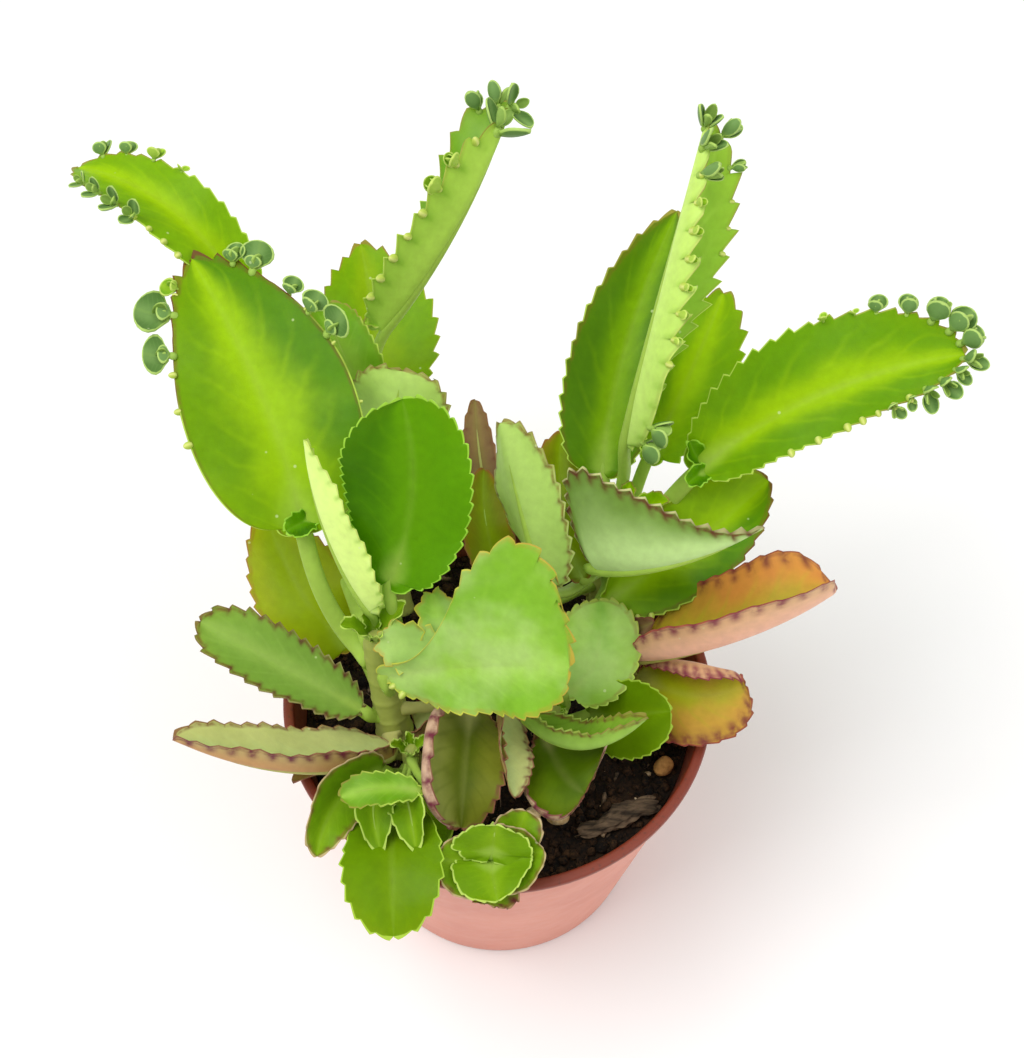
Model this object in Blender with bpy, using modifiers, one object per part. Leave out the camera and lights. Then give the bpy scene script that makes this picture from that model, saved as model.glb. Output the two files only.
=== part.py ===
"""A mother of thousands in its nursery pot, as separate solids.

World frame: origin at the centre of the pot's underside, +Z up, +Y away from the
viewer's side of the pot, +X to the right. Lengths in the tables are millimetres.
"""

import math
from dataclasses import dataclass

import bmesh
import bpy
import numpy as np
from mathutils import Vector

MM = 0.001
COLLECTION = "mother_of_thousands"

# Pot: a thin tapered nursery pot with a narrow turned lip.
POT_HEIGHT = 92.0
POT_RIM_RADIUS = 60.0
POT_BASE_RADIUS = 43.0
POT_WALL = 1.5
POT_FLOOR = 2.0
POT_LIP_HEIGHT = 3.6
POT_LIP_OUT = 1.4
POT_SEGMENTS = 64
DRAIN_HOLES = 6
DRAIN_RADIUS = 4.0
DRAIN_CIRCLE = 28.0

# Potting soil: fills the pot to a little under the lip.
SOIL_TOP = 80.0
SOIL_GAP = 0.3

# Stems and leaves.
JOIN_GAP = 0.35
STEM_FOOT = 1.2
BLADE_STATIONS = 8
STALK_STATIONS = 3
TIP_WIDTH = 0.03


@dataclass(frozen=True)
class Stem:
    """A stem: three points of its centre line, and its radius at the bottom and top."""

    name: str
    bottom: tuple
    middle: tuple
    top: tuple
    radii: tuple


@dataclass(frozen=True)
class Leaf:
    """One leaf with its stalk.

    height: where on the stem the stalk leaves it. collar, middle, tip: the midrib.
    half: widths of the left and right halves. face: where the upper side looks.
    fold, curl: degrees each half turns up near the midrib and towards its margin.
    """

    name: str
    stem: str
    height: float
    collar: tuple
    middle: tuple
    tip: tuple
    half: tuple
    face: tuple
    fold: tuple = (10, 10)
    curl: tuple = (0, 0)
    stalk: float = 2.0
    thick: float = 1.8
    base: float = 0.3
    belly: float = 0.42
    rise: tuple = (0.5, 0.5)
    power: float = 2.0
    point: float = 0.6
    kind: str = "green"


STEMS = (
    Stem("stem_a", (-28, -12, 80.35), (-30, -7, 100), (-32, -1, 122), (5.5, 3.6)),
    Stem("stem_b", (-30, 34, 80.35), (-32, 45, 100), (-32, 56, 120), (4.5, 3.2)),
    Stem("stem_c", (-23, -21, 80.35), (-23, -22, 90), (-23, -23, 99), (3.2, 2.4)),
    Stem("stem_d", (-2, -48, 80.35), (-2, -48.5, 89), (-2, -49, 98), (2.8, 1.8)),
    Stem("stem_e", (15, -7, 80.35), (15.5, -8, 88), (16, -9, 94), (3.6, 2.6)),
    Stem("stem_f", (32, 37, 80.35), (33, 36, 103), (34, 34, 126), (5.5, 3.6)),
)

LEAVES = (
    Leaf("leaf_a1", "stem_a", 89, (-30, -22, 95), (-54, -34, 111), (-80, -33, 124), (13, 13), (-0.1, 0.72, 0.69),
         fold=(42, 42), stalk=2.2, thick=2.2, base=0.5, kind="red"),
    Leaf("leaf_a2", "stem_a", 85, (-22, -12, 87), (-17, -9, 90), (-10, -5, 91), (8, 6), (0.21, 0.57, 0.8),
         fold=(40, 40), stalk=1.6, thick=1.6, kind="red"),
    Leaf("leaf_a3", "stem_a", 96, (-7, -13, 101), (-8, -32, 107), (-9, -46, 100), (8, 17), (0.1, -0.42, 0.9),
         fold=(10, 10), stalk=1.8, thick=2, curl=(0, 150), base=0.5, belly=0.5, point=0.5, kind="olive"),
    Leaf("leaf_a4", "stem_a", 95, (-37, -12, 101), (-56, -6, 113), (-78, 2, 123), (10, 8.5), (-0.1, -0.33, 0.94),
         fold=(40, 5), stalk=2, thick=1.8, base=0.15, belly=0.65, point=0.45),
    Leaf("leaf_a5", "stem_a", 98, (-42, 11, 98), (-55, 21, 108), (-67, 46, 112), (13, 11), (0, -0.59, 0.81),
         fold=(5, 5), stalk=2, thick=1.8, kind="olive"),
    Leaf("leaf_a6", "stem_a", 106, (-28, -12, 118), (-4, -17, 132), (18, -22, 140), (30, 13), (0.05, -0.81, 0.58),
         fold=(5, 10), stalk=2.2, thick=2, base=0.12, belly=0.68, rise=(2, 0.5), point=0.42),
    Leaf("leaf_a7", "stem_a", 111, (-51, 21, 140), (-62, 50, 158), (-84, 91, 168), (22, 24), (0, -0.5, 0.86),
         fold=(10, 8), stalk=2.6, thick=2.2),
    Leaf("leaf_a8", "stem_a", 112, (-33, 22, 120), (-36, 30, 132), (-39, 38, 140), (9, 9), (0, -0.59, 0.81),
         fold=(10, 10), stalk=1.6, thick=1.4),
    Leaf("leaf_a9", "stem_a", 115.5, (-71, 91, 150), (-90, 107, 171), (-121, 127, 170), (11, 13), (0.1, -0.25, 0.96),
         fold=(30, 10), stalk=2.4, thick=2, belly=0.5),
    Leaf("leaf_a10", "stem_a", 119.5, (-33, 3, 129), (-43, 14, 150), (-47, 25, 170), (11, 9), (0.91, 0.4, 0.13),
         fold=(37, 37), stalk=1.8, thick=1.6, belly=0.35, point=0.8),
    Leaf("leaf_a11", "stem_a", 120.5, (-27, 6, 138), (-21, 19, 157), (-23, 33, 176), (17.5, 15), (0, -0.5, 0.86),
         fold=(8, 8), stalk=2, thick=1.8, base=0.4, belly=0.5, point=0.45),
    Leaf("leaf_b1", "stem_b", 100, (-35, 84, 118), (-38, 107, 128), (-43, 132, 136), (17, 18), (0, -0.59, 0.81),
         fold=(8, 8), stalk=2.2, thick=1.8, belly=0.4, point=0.9, kind="olive"),
    Leaf("leaf_b2", "stem_b", 110, (-29, 50, 136), (-27, 52, 150), (-25, 57, 160), (14, 14), (0, 0.16, -0.99),
         fold=(8, 8), stalk=1.8, thick=1.8, base=0.5, point=0.3),
    Leaf("leaf_b3", "stem_b", 112, (-35, 66, 140), (-43, 72, 152), (-47, 86, 156), (9, 9), (0, -0.59, 0.81),
         fold=(8, 8), stalk=1.6, thick=1.4, base=0.5, point=0.4),
    Leaf("leaf_b4", "stem_b", 118, (-32, 85, 150), (-11, 96, 178), (12, 118, 196), (21, 18), (-0.78, 0.36, 0.5),
         fold=(60, 60), stalk=2.6, thick=2.2, base=0.5, belly=0.35, point=0.7),
    Leaf("leaf_c1", "stem_c", 83, (-36, -22, 86), (-45, -25, 91), (-54, -31, 95), (6, 6), (0, 0.58, 0.81),
         fold=(40, 40), stalk=1, thick=1, kind="red"),
    Leaf("leaf_c2", "stem_c", 89, (-27, -39, 97), (-26, -57, 105), (-25, -74, 99), (11.5, 11), (0, -0.42, 0.91),
         fold=(8, 8), stalk=1.6, thick=1.6, belly=0.48, point=0.8),
    Leaf("leaf_c3", "stem_c", 86.5, (-31, -29, 98), (-40, -41, 106), (-45, -55, 103), (9, 12), (0.19, -0.41, 0.89),
         fold=(5, 50), stalk=1.6, thick=1.6, belly=0.5),
    Leaf("leaf_c4", "stem_c", 83.5, (-22, -28, 88), (-19, -38, 91), (-16, -48, 90), (9, 9), (0, -0.59, 0.81),
         fold=(8, 8), stalk=1.4, thick=1.4),
    Leaf("leaf_c5", "stem_c", 97, (-20, -41, 112), (-30, -43, 117), (-38, -46, 118), (8, 5), (0, 0.02, 1),
         fold=(10, 40), stalk=1.3, thick=1.3, belly=0.6, point=0.4),
    Leaf("leaf_c6", "stem_c", 92, (-29, -38, 103), (-31, -44, 107), (-29, -51, 106), (4, 4), (0.19, -0.41, 0.89),
         fold=(30, 30), stalk=1.1, thick=1.1),
    Leaf("leaf_c7", "stem_c", 94.5, (-24, -39, 104), (-22, -45, 108), (-21, -51, 107), (4, 4), (-0.19, -0.41, 0.89),
         fold=(30, 30), stalk=1.1, thick=1.1),
    Leaf("leaf_d1", "stem_d", 87, (-1, -60, 96), (-0, -63, 96), (-0, -65, 95), (6, 6), (0, -0.59, 0.81),
         fold=(10, 10), stalk=1.2, thick=1.2, kind="red"),
    Leaf("leaf_d2", "stem_d", 90, (-2, -55, 97), (-1, -60, 101), (-0, -65, 102), (11, 11), (0, -0.59, 0.81),
         fold=(15, 15), stalk=1.4, thick=1.4, base=0.25, belly=0.5, point=0.35),
    Leaf("leaf_d3", "stem_d", 93.5, (-4, -53, 101), (-9, -55, 108), (-15, -59, 112), (9, 9), (0.19, -0.41, 0.89),
         fold=(35, 15), stalk=1.3, thick=1.4, base=0.25, belly=0.5, point=0.4),
    Leaf("leaf_d4", "stem_d", 91.5, (1, -51, 97), (5, -52, 102), (11, -53, 106), (9, 9), (-0.19, -0.41, 0.89),
         fold=(15, 30), stalk=1.3, thick=1.4, base=0.25, belly=0.5, point=0.4),
    Leaf("leaf_d5", "stem_d", 96.5, (-0, -52, 105), (4, -53, 113), (10, -54, 116), (5, 7), (0, 0.29, 0.96),
         fold=(10, 30), stalk=1.1, thick=1.2, base=0.25, belly=0.5, point=0.4),
    Leaf("leaf_e1", "stem_e", 83.5, (13, -15, 92), (17, -29, 98), (20, -39, 98), (14, 14), (0, -0.5, 0.86),
         fold=(10, 20), stalk=1.8, thick=1.8, curl=(0, 20), base=0.4, belly=0.6, point=0.4, kind="olive"),
    Leaf("leaf_e2", "stem_e", 86, (2, -11, 98), (2, -27, 104), (5, -39, 103), (8, 7), (0.59, -0.3, 0.75),
         fold=(20, 50), stalk=1.6, thick=1.6, base=0.5, kind="red"),
    Leaf("leaf_e3", "stem_e", 92.5, (20, -8, 103), (27, 0, 109), (28, 15, 113), (12, 9.4), (0, -0.59, 0.81),
         fold=(10, 10), stalk=1.8, thick=1.8, base=0.2, belly=0.55, point=0.45),
    Leaf("leaf_e4", "stem_e", 86.5, (26, -9, 92), (35, -13, 100), (46, -16, 107), (9.5, 12), (0, -0.59, 0.81),
         fold=(10, 10), stalk=1.8, thick=1.8, belly=0.5, point=0.4),
    Leaf("leaf_e5", "stem_e", 91, (9, -18, 105), (21, -30, 113), (37, -26, 122), (7, 8), (0, 0.23, 0.97),
         fold=(20, 50), stalk=1.6, thick=1.6, base=0.5, point=0.5),
    Leaf("leaf_f1", "stem_f", 84, (0, 39, 100), (-5, 62, 112), (-7, 82, 120), (5, 5), (0, -0.59, 0.81),
         fold=(8, 8), stalk=1.2, thick=1, kind="red"),
    Leaf("leaf_f2", "stem_f", 90, (3, 23, 106), (-3, 37, 116), (-4, 54, 122), (7, 7), (0, -0.59, 0.81),
         fold=(8, 8), stalk=1.5, thick=1.4, kind="olive"),
    Leaf("leaf_f3", "stem_f", 88, (40, 2, 94), (53, -7, 100), (67, -7, 105), (16, 14), (0, -0.42, 0.91),
         fold=(5, 10), stalk=1.8, thick=1.8, curl=(120, 0), belly=0.5, point=0.35, kind="red"),
    Leaf("leaf_f4", "stem_f", 95, (46, 4, 110), (64, -1, 122), (88, 6, 132), (14, 10), (0, 0.22, 0.98),
         fold=(40, 60), stalk=2.2, thick=2.2, point=0.4, kind="red"),
    Leaf("leaf_f5", "stem_f", 107.5, (23, 23, 114), (18, 39, 123), (18, 61, 130), (10, 10), (0, -0.59, 0.81),
         fold=(8, 8), stalk=1.8, thick=1.6, kind="olive"),
    Leaf("leaf_f6", "stem_f", 103, (13, 16, 122), (7, 24, 142), (1, 44, 154), (12, 14), (0.7, 0.49, -0.51),
         fold=(15, 25), stalk=2, thick=1.8, belly=0.5, point=0.5),
    Leaf("leaf_f7", "stem_f", 98, (31, 17, 111), (53, 27, 123), (77, 42, 131), (13, 13), (0, -0.42, 0.91),
         fold=(10, 10), stalk=2.2, thick=2, base=0.2, belly=0.45, rise=(1, 0.5), point=0.55),
    Leaf("leaf_f8", "stem_f", 113, (26, 9, 133), (46, 1, 147), (66, 8, 157), (16, 29), (0, 0.9, 0.44),
         fold=(55, 55), stalk=2.4, thick=2.2, base=0.95, belly=0.12, power=1.2, point=1.6),
    Leaf("leaf_f9", "stem_f", 116, (43, 53, 130), (54, 70, 146), (63, 88, 158), (9, 10), (0.1, -0.58, 0.81),
         fold=(10, 10), stalk=2, thick=1.8),
    Leaf("leaf_f10", "stem_f", 118, (29, 46, 132), (35, 72, 152), (50, 106, 172), (14, 12), (-0.1, -0.58, 0.81),
         fold=(10, 10), stalk=2.4, thick=2, base=0.45, point=0.75),
    Leaf("leaf_f11", "stem_f", 119, (53, 40, 142), (83, 45, 164), (120, 48, 178), (17.5, 13), (0, -0.37, 0.93),
         fold=(12, 12), stalk=2.6, thick=2.2, base=0.75, belly=0.5, point=0.55),
    Leaf("leaf_f12", "stem_f", 123, (36, 43, 148), (43, 61, 186), (52, 90, 214), (13, 20), (0.9, -0.26, 0.36),
         fold=(41, 41), stalk=2.6, thick=2.2, base=0.4, belly=0.4, point=0.7),
)

# Small things lying on the soil: centre, half sizes and turn about the vertical.
STONES = (
    ("stone_cream", (16.5, -34.5, 83.0), (3.2, 2.8, 2.7), 20),
    ("stone_pale", (9.5, -34.5, 82.4), (2.6, 2.2, 2.1), 70),
    ("stone_orange", (46, -20, 82.6), (3.0, 2.4, 2.3), 35),
)
BARK_CENTRE = (33, -35, 82.2)
BARK_SIZE = (22, 6.5, 3.6)
BARK_TURN = 24
BARK_SHARES = (0, 0.25, 0.5, 0.75, 1)
BARK_WIDTHS = (0.4, 0.85, 1, 0.9, 0.45)
BARK_HEIGHTS = (0.5, 0.95, 1, 0.85, 0.5)
BARK_DRIFTS = (0.5, -0.4, 0.3, 0.4, -0.3)
BARK_EDGE = 0.5

# Colour and roughness of each finish.
FINISHES = {
    "green": ((0.20, 0.48, 0.03), 0.42),
    "olive": ((0.42, 0.44, 0.03), 0.45),
    "red": ((0.55, 0.20, 0.06), 0.55),
    "stem": ((0.30, 0.42, 0.10), 0.50),
    "pot": ((0.62, 0.22, 0.13), 0.50),
    "soil": ((0.03, 0.018, 0.010), 0.95),
    "stone": ((0.62, 0.50, 0.33), 0.80),
    "bark": ((0.22, 0.16, 0.11), 0.90),
}


def unit(vector):
    """The vector, or each row of an array of vectors, at length one."""
    length = np.linalg.norm(vector, axis=-1, keepdims=True)
    return vector / np.maximum(length, 1e-9)


def clear_scene():
    """Remove every object of the startup scene."""
    for item in list(bpy.data.objects):
        bpy.data.objects.remove(item)


def new_collection(name, hidden):
    """A collection linked to the scene, kept out of renders if hidden."""
    group = bpy.data.collections.new(name)
    bpy.context.scene.collection.children.link(group)
    group.hide_render = hidden
    return group


def new_material(name, finish):
    """A Principled material with the colour and roughness of this finish."""
    colour, roughness = FINISHES[finish]
    material = bpy.data.materials.new(name)
    material.use_nodes = True
    shader = material.node_tree.nodes["Principled BSDF"]
    shader.inputs["Base Color"].default_value = (*colour, 1.0)
    shader.inputs["Roughness"].default_value = roughness
    shader.inputs["Metallic"].default_value = 0.0
    return material


def add_object(group, name, data, finish):
    """An object of this mesh or curve, with a material of its own."""
    item = bpy.data.objects.new(name, data)
    data.materials.append(new_material(name, finish))
    group.objects.link(item)
    return item


def add_bmesh(group, name, shape, finish, smooth):
    """An object from a bmesh, which is freed."""
    mesh = bpy.data.meshes.new(name)
    shape.to_mesh(mesh)
    shape.free()
    if smooth:
        mesh.shade_smooth()
    return add_object(group, name, mesh, finish)


def add_cone(group, name, radii, depth, sides, finish):
    """A round plug, with one radius at its bottom and one at its top."""
    shape = bmesh.new()
    bmesh.ops.create_cone(shape, cap_ends=True, segments=sides, radius1=radii[0] * MM,
                          radius2=radii[1] * MM, depth=depth * MM)
    return add_bmesh(group, name, shape, finish, False)


def place(item, centre, turn=0.0):
    """Put an object's centre at a point in millimetres, turned about the vertical."""
    item.location = Vector(centre) * MM
    item.rotation_euler = (0.0, 0.0, math.radians(turn))


def loft(rings):
    """Points and faces of a closed body through rings of equal count."""
    count = len(rings[0])
    points = np.concatenate(rings)
    faces = [tuple(reversed(range(count)))]
    for row in range(len(rings) - 1):
        start = row * count
        for column in range(count):
            after = (column + 1) % count
            faces.append((start + column, start + after,
                          start + count + after, start + count + column))
    last = (len(rings) - 1) * count
    faces.append(tuple(range(last, last + count)))
    return points, faces


def bend(first, middle, last, steps):
    """Points and directions of a curve that passes through its middle point."""
    pull = 2 * middle - 0.5 * (first + last)
    t = np.asarray(steps, float)[:, None]
    points = (1 - t) ** 2 * first + 2 * t * (1 - t) * pull + t * t * last
    along = 2 * (1 - t) * (pull - first) + 2 * t * (last - pull)
    return points, unit(along)


def stem_at(stem, height):
    """Centre, direction and radius of a stem at a height."""
    steps = np.linspace(0, 1, 101)
    ends = [np.array(p, float) for p in (stem.bottom, stem.middle, stem.top)]
    points, along = bend(*ends, steps)
    index = int(np.argmin(np.abs(points[:, 2] - height)))
    radius = stem.radii[0] + (stem.radii[1] - stem.radii[0]) * steps[index]
    return points[index], along[index], radius


def build_stem(group, stem):
    """A stem: a tapered round curve with filled caps and a rounded growing tip."""
    steps = np.array([0, 0.12, 0.24, 0.36, 0.48, 0.6, 0.7, 0.8, 0.88, 0.94, 0.98, 1.0])
    swell = np.interp(steps, [0, 0.88, 0.94, 0.98, 1.0], [1, 1, 0.95, 0.75, 0.35])
    ends = [np.array(p, float) for p in (stem.bottom, stem.middle, stem.top)]
    points, _ = bend(*ends, steps)
    radii = (stem.radii[0] + (stem.radii[1] - stem.radii[0]) * steps) * swell
    level = points[0] + (0, 0, STEM_FOOT)
    points = np.vstack([points[:1], level, points[1:]])
    radii = np.concatenate([radii[:1], radii])
    curve = bpy.data.curves.new(stem.name, "CURVE")
    curve.dimensions = "3D"
    curve.bevel_depth = MM
    curve.bevel_resolution = 4
    curve.use_fill_caps = True
    spline = curve.splines.new("POLY")
    spline.points.add(len(points) - 1)
    for spot, point, radius in zip(spline.points, points, radii):
        spot.co = (*(point * MM), 1.0)
        spot.radius = radius
    spline.use_smooth = True
    return add_object(group, stem.name, curve, "stem")


def half_width(leaf, u, side):
    """Width of one half of a blade as a share of its widest, at shares u of its length."""
    inner = np.clip((leaf.belly - u) / leaf.belly, 0, 1)
    outer = np.clip((u - leaf.belly) / (1 - leaf.belly), 0, 1)
    low = leaf.base + (1 - leaf.base) * np.clip(1 - inner**2, 0, 1) ** leaf.rise[side]
    high = np.clip(1 - outer**leaf.power, 0, 1) ** leaf.point
    return np.maximum(np.where(u < leaf.belly, low, high), TIP_WIDTH)


def half_section(leaf, side, shares):
    """Across, up and slope of one half's section at shares of its width."""
    s = np.linspace(0, 1, 41)
    angle = np.radians(leaf.fold[side] * np.clip(s / 0.2, 0, 1) + leaf.curl[side] * s**3)
    middle = (angle[1:] + angle[:-1]) / 2
    across = np.concatenate([[0], np.cumsum(np.cos(middle))]) / 40
    up = np.concatenate([[0], np.cumsum(np.sin(middle))]) / 40
    return [np.interp(shares, s, values) for values in (across, up, angle)]


def blade_frames(leaf, along):
    """Upward and rightward directions of the blade along its midrib."""
    face = unit(np.array(leaf.face, float))
    up = unit(face - (along @ face)[:, None] * along)
    return up, np.cross(along, up)


def blade_rings(leaf):
    """Rings of the blade from the collar to the tip."""
    u = np.linspace(0, 1, BLADE_STATIONS) ** 0.9
    ends = [np.array(p, float) for p in (leaf.collar, leaf.middle, leaf.tip)]
    points, along = bend(*ends, u)
    up, right = blade_frames(leaf, along)
    shares = [0.0, 0.5, 0.8, 1.0] if any(leaf.curl) else [0.0, 0.5, 1.0]
    top, under = [], []
    for side, sign in ((0, -1), (1, 1)):
        width = half_width(leaf, u, side) * leaf.half[side]
        across, rise, slope = half_section(leaf, side, shares)
        for k, share in enumerate(shares):
            if side == 1 and k == 0:
                continue
            offset = sign * across[k] * right + rise[k] * up
            spot = points + width[:, None] * offset
            normal = np.cos(slope[k]) * up - sign * np.sin(slope[k]) * right
            if k == 0:
                normal = up
            depth = leaf.thick * (1 - 0.75 * share) * np.clip(1.15 - u, 0.15, 1)
            order = sign * (k + 0.5) if k else 0
            top.append((order, spot))
            if share < 1:
                under.append((-order, spot - depth[:, None] * normal))
    line = [spot for _, spot in sorted(top, key=lambda pair: pair[0])]
    line += [spot for _, spot in sorted(under, key=lambda pair: pair[0])]
    return np.stack(line, axis=1)


def stalk_rings(leaf, stem, count, end_ring, top_count):
    """Rings of the stalk, from just clear of the stem to just before the collar."""
    centre, axis, radius = stem_at(stem, leaf.height)
    collar = np.array(leaf.collar, float)
    away = collar - centre
    away = unit(away - (away @ axis) * axis)
    root = centre + away * (radius + JOIN_GAP)
    ends = [np.array(p, float) for p in (leaf.collar, leaf.middle, leaf.tip)]
    _, along = bend(*ends, [0.0])
    up, right = blade_frames(leaf, along)
    reach = np.linalg.norm(collar - root)
    first, second = root + away * reach * 0.35, collar - along[0] * reach * 0.4
    rings = []
    for step in np.linspace(0, 1, count + 1)[:-1]:
        keep = 1 - step
        point = (keep**3 * root + 3 * keep**2 * step * first
                 + 3 * keep * step**2 * second + step**3 * collar)
        way = (keep**2 * (first - root) + 2 * keep * step * (second - first)
               + step**2 * (collar - second))
        way = unit(way)
        side = unit(right[0] - (right[0] @ way) * way)
        rise = np.cross(side, way)
        rings.append(point + stalk_section(leaf, side, rise, top_count, len(end_ring)))
    return rings


def stalk_section(leaf, side, rise, top_count, total):
    """An oval section with its points in the same order as the blade's."""
    over = np.linspace(math.pi, 0, top_count)
    below = np.linspace(0, -math.pi, total - top_count + 2)[1:-1]
    turn = np.concatenate([over, below])
    wide, deep = leaf.stalk, leaf.stalk * 0.72
    return np.outer(np.cos(turn) * wide, side) + np.outer(np.sin(turn) * deep, rise)


def build_leaf(group, leaf, stem):
    """One closed leaf, lofted from its oval stalk into the thin section of its blade."""
    blade = blade_rings(leaf)
    top_count = 7 if any(leaf.curl) else 5
    stalk = stalk_rings(leaf, stem, STALK_STATIONS, blade[0], top_count)
    points, faces = loft(stalk + list(blade))
    mesh = bpy.data.meshes.new(leaf.name)
    mesh.from_pydata((points * MM).tolist(), [], faces)
    mesh.update()
    mesh.shade_smooth()
    return add_object(group, leaf.name, mesh, leaf.kind)


def wall_radius(height):
    """Outer radius of the pot's wall at a height."""
    share = height / POT_HEIGHT
    top = POT_RIM_RADIUS - POT_LIP_OUT
    return POT_BASE_RADIUS + (top - POT_BASE_RADIUS) * share


def pot_profile():
    """Half section of the pot, from the floor's middle up the inside, over the lip and down."""
    lip = POT_HEIGHT - POT_LIP_HEIGHT
    inner = POT_HEIGHT - 0.8
    return [
        (0.0, POT_FLOOR),
        (wall_radius(POT_FLOOR) - POT_WALL, POT_FLOOR),
        (wall_radius(inner) - POT_WALL, inner),
        (wall_radius(inner) - POT_WALL + 0.6, POT_HEIGHT),
        (POT_RIM_RADIUS - 0.7, POT_HEIGHT),
        (POT_RIM_RADIUS, POT_HEIGHT - 0.7),
        (POT_RIM_RADIUS, lip + 0.9),
        (POT_RIM_RADIUS - 0.4, lip + 0.3),
        (wall_radius(lip), lip),
        (wall_radius(0.8), 0.8),
        (POT_BASE_RADIUS - 0.8, 0.0),
        (0.0, 0.0),
    ]


def build_pot(group, cutters):
    """The pot: a turned profile, with a ring of drainage holes cut through its floor."""
    profile = [(radius * MM, 0.0, height * MM) for radius, height in pot_profile()]
    mesh = bpy.data.meshes.new("pot")
    mesh.from_pydata(profile, [(k, k + 1) for k in range(len(profile) - 1)], [])
    pot = add_object(group, "pot", mesh, "pot")
    turn = pot.modifiers.new("turn", "SCREW")
    turn.steps = POT_SEGMENTS
    turn.render_steps = POT_SEGMENTS
    turn.use_merge_vertices = True
    turn.merge_threshold = 0.00001
    for index in range(DRAIN_HOLES):
        angle = 2 * math.pi * (index + 0.5) / DRAIN_HOLES
        name = f"drain_{index + 1}"
        drill = add_cone(cutters, name, (DRAIN_RADIUS, DRAIN_RADIUS), POT_FLOOR + 4, 20, "pot")
        place(drill, (DRAIN_CIRCLE * math.cos(angle), DRAIN_CIRCLE * math.sin(angle), POT_FLOOR / 2))
        drill.display_type = "WIRE"
        drill.hide_render = True
        cut = pot.modifiers.new(name, "BOOLEAN")
        cut.operation = "DIFFERENCE"
        cut.solver = "EXACT"
        cut.object = drill
    return pot


def build_soil(group):
    """The root ball: a plain tapered plug up to the soil's surface."""
    low, high = POT_FLOOR + SOIL_GAP, SOIL_TOP
    shrink = POT_WALL + SOIL_GAP
    radii = (wall_radius(low) - shrink, wall_radius(high) - shrink)
    soil = add_cone(group, "soil", radii, high - low, POT_SEGMENTS, "soil")
    place(soil, (0, 0, (low + high) / 2))
    return soil


def build_stone(group, name, centre, half, turn):
    """A rounded stone resting on the soil."""
    shape = bmesh.new()
    bmesh.ops.create_uvsphere(shape, u_segments=12, v_segments=8, radius=MM)
    bmesh.ops.scale(shape, vec=half, verts=shape.verts)
    stone = add_bmesh(group, name, shape, "stone", True)
    place(stone, centre, turn)
    return stone


def build_bark(group):
    """A long chip of bark lying on the soil: a box cut across and pulled out of true."""
    shape = bmesh.new()
    bmesh.ops.create_cube(shape, size=1.0)
    long_edges = [edge for edge in shape.edges if abs(edge.verts[0].co.x - edge.verts[1].co.x) > 0.5]
    bmesh.ops.subdivide_edges(shape, edges=long_edges, cuts=3, use_grid_fill=True)
    for corner in shape.verts:
        share = corner.co.x + 0.5
        wide = np.interp(share, BARK_SHARES, BARK_WIDTHS)
        high = np.interp(share, BARK_SHARES, BARK_HEIGHTS)
        drift = np.interp(share, BARK_SHARES, BARK_DRIFTS)
        lift = (corner.co.z + 0.5) * high - 0.5
        corner.co = Vector((corner.co.x * BARK_SIZE[0], corner.co.y * BARK_SIZE[1] * wide + drift,
                            lift * BARK_SIZE[2])) * MM
    bark = add_bmesh(group, "bark_chip", shape, "bark", False)
    place(bark, BARK_CENTRE, BARK_TURN)
    soften = bark.modifiers.new("soften", "BEVEL")
    soften.width = BARK_EDGE * MM
    soften.segments = 1
    return bark


def main():
    """Build every piece of the potted plant."""
    clear_scene()
    group = new_collection(COLLECTION, False)
    cutters = new_collection("cutters", True)
    build_pot(group, cutters)
    build_soil(group)
    stems = {stem.name: stem for stem in STEMS}
    for stem in STEMS:
        build_stem(group, stem)
    for leaf in LEAVES:
        build_leaf(group, leaf, stems[leaf.stem])
    for stone in STONES:
        build_stone(group, *stone)
    build_bark(group)


if __name__ == "__main__":
    main()
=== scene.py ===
"""Dresses a potted mother of thousands: toothed leaves, plantlets, stems, soil and pot."""

import logging
import math
from dataclasses import dataclass, replace
from enum import Enum

import bmesh
import bpy
import numpy as np
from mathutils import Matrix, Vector


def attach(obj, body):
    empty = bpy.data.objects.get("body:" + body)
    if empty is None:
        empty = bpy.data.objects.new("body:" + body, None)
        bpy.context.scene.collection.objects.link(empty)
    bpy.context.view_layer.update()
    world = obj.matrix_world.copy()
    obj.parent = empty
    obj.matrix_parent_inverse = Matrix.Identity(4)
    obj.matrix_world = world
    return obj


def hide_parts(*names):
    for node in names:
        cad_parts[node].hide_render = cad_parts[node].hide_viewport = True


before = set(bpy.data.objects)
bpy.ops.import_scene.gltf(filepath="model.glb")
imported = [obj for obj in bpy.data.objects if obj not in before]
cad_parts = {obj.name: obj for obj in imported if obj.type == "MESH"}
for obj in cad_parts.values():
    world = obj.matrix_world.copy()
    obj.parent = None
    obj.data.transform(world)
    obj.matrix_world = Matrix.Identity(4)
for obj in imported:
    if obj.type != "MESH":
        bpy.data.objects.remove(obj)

Colour = tuple[float, float, float]
Point = tuple[float, float, float]
Pair = tuple[float, float]
Both = float | Pair
Array = np.ndarray
Faces = list[list[int]]
Random = np.random.Generator
Material = bpy.types.Material
Node = bpy.types.Node
Piece = bpy.types.Object
Socket = bpy.types.NodeSocket

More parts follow.
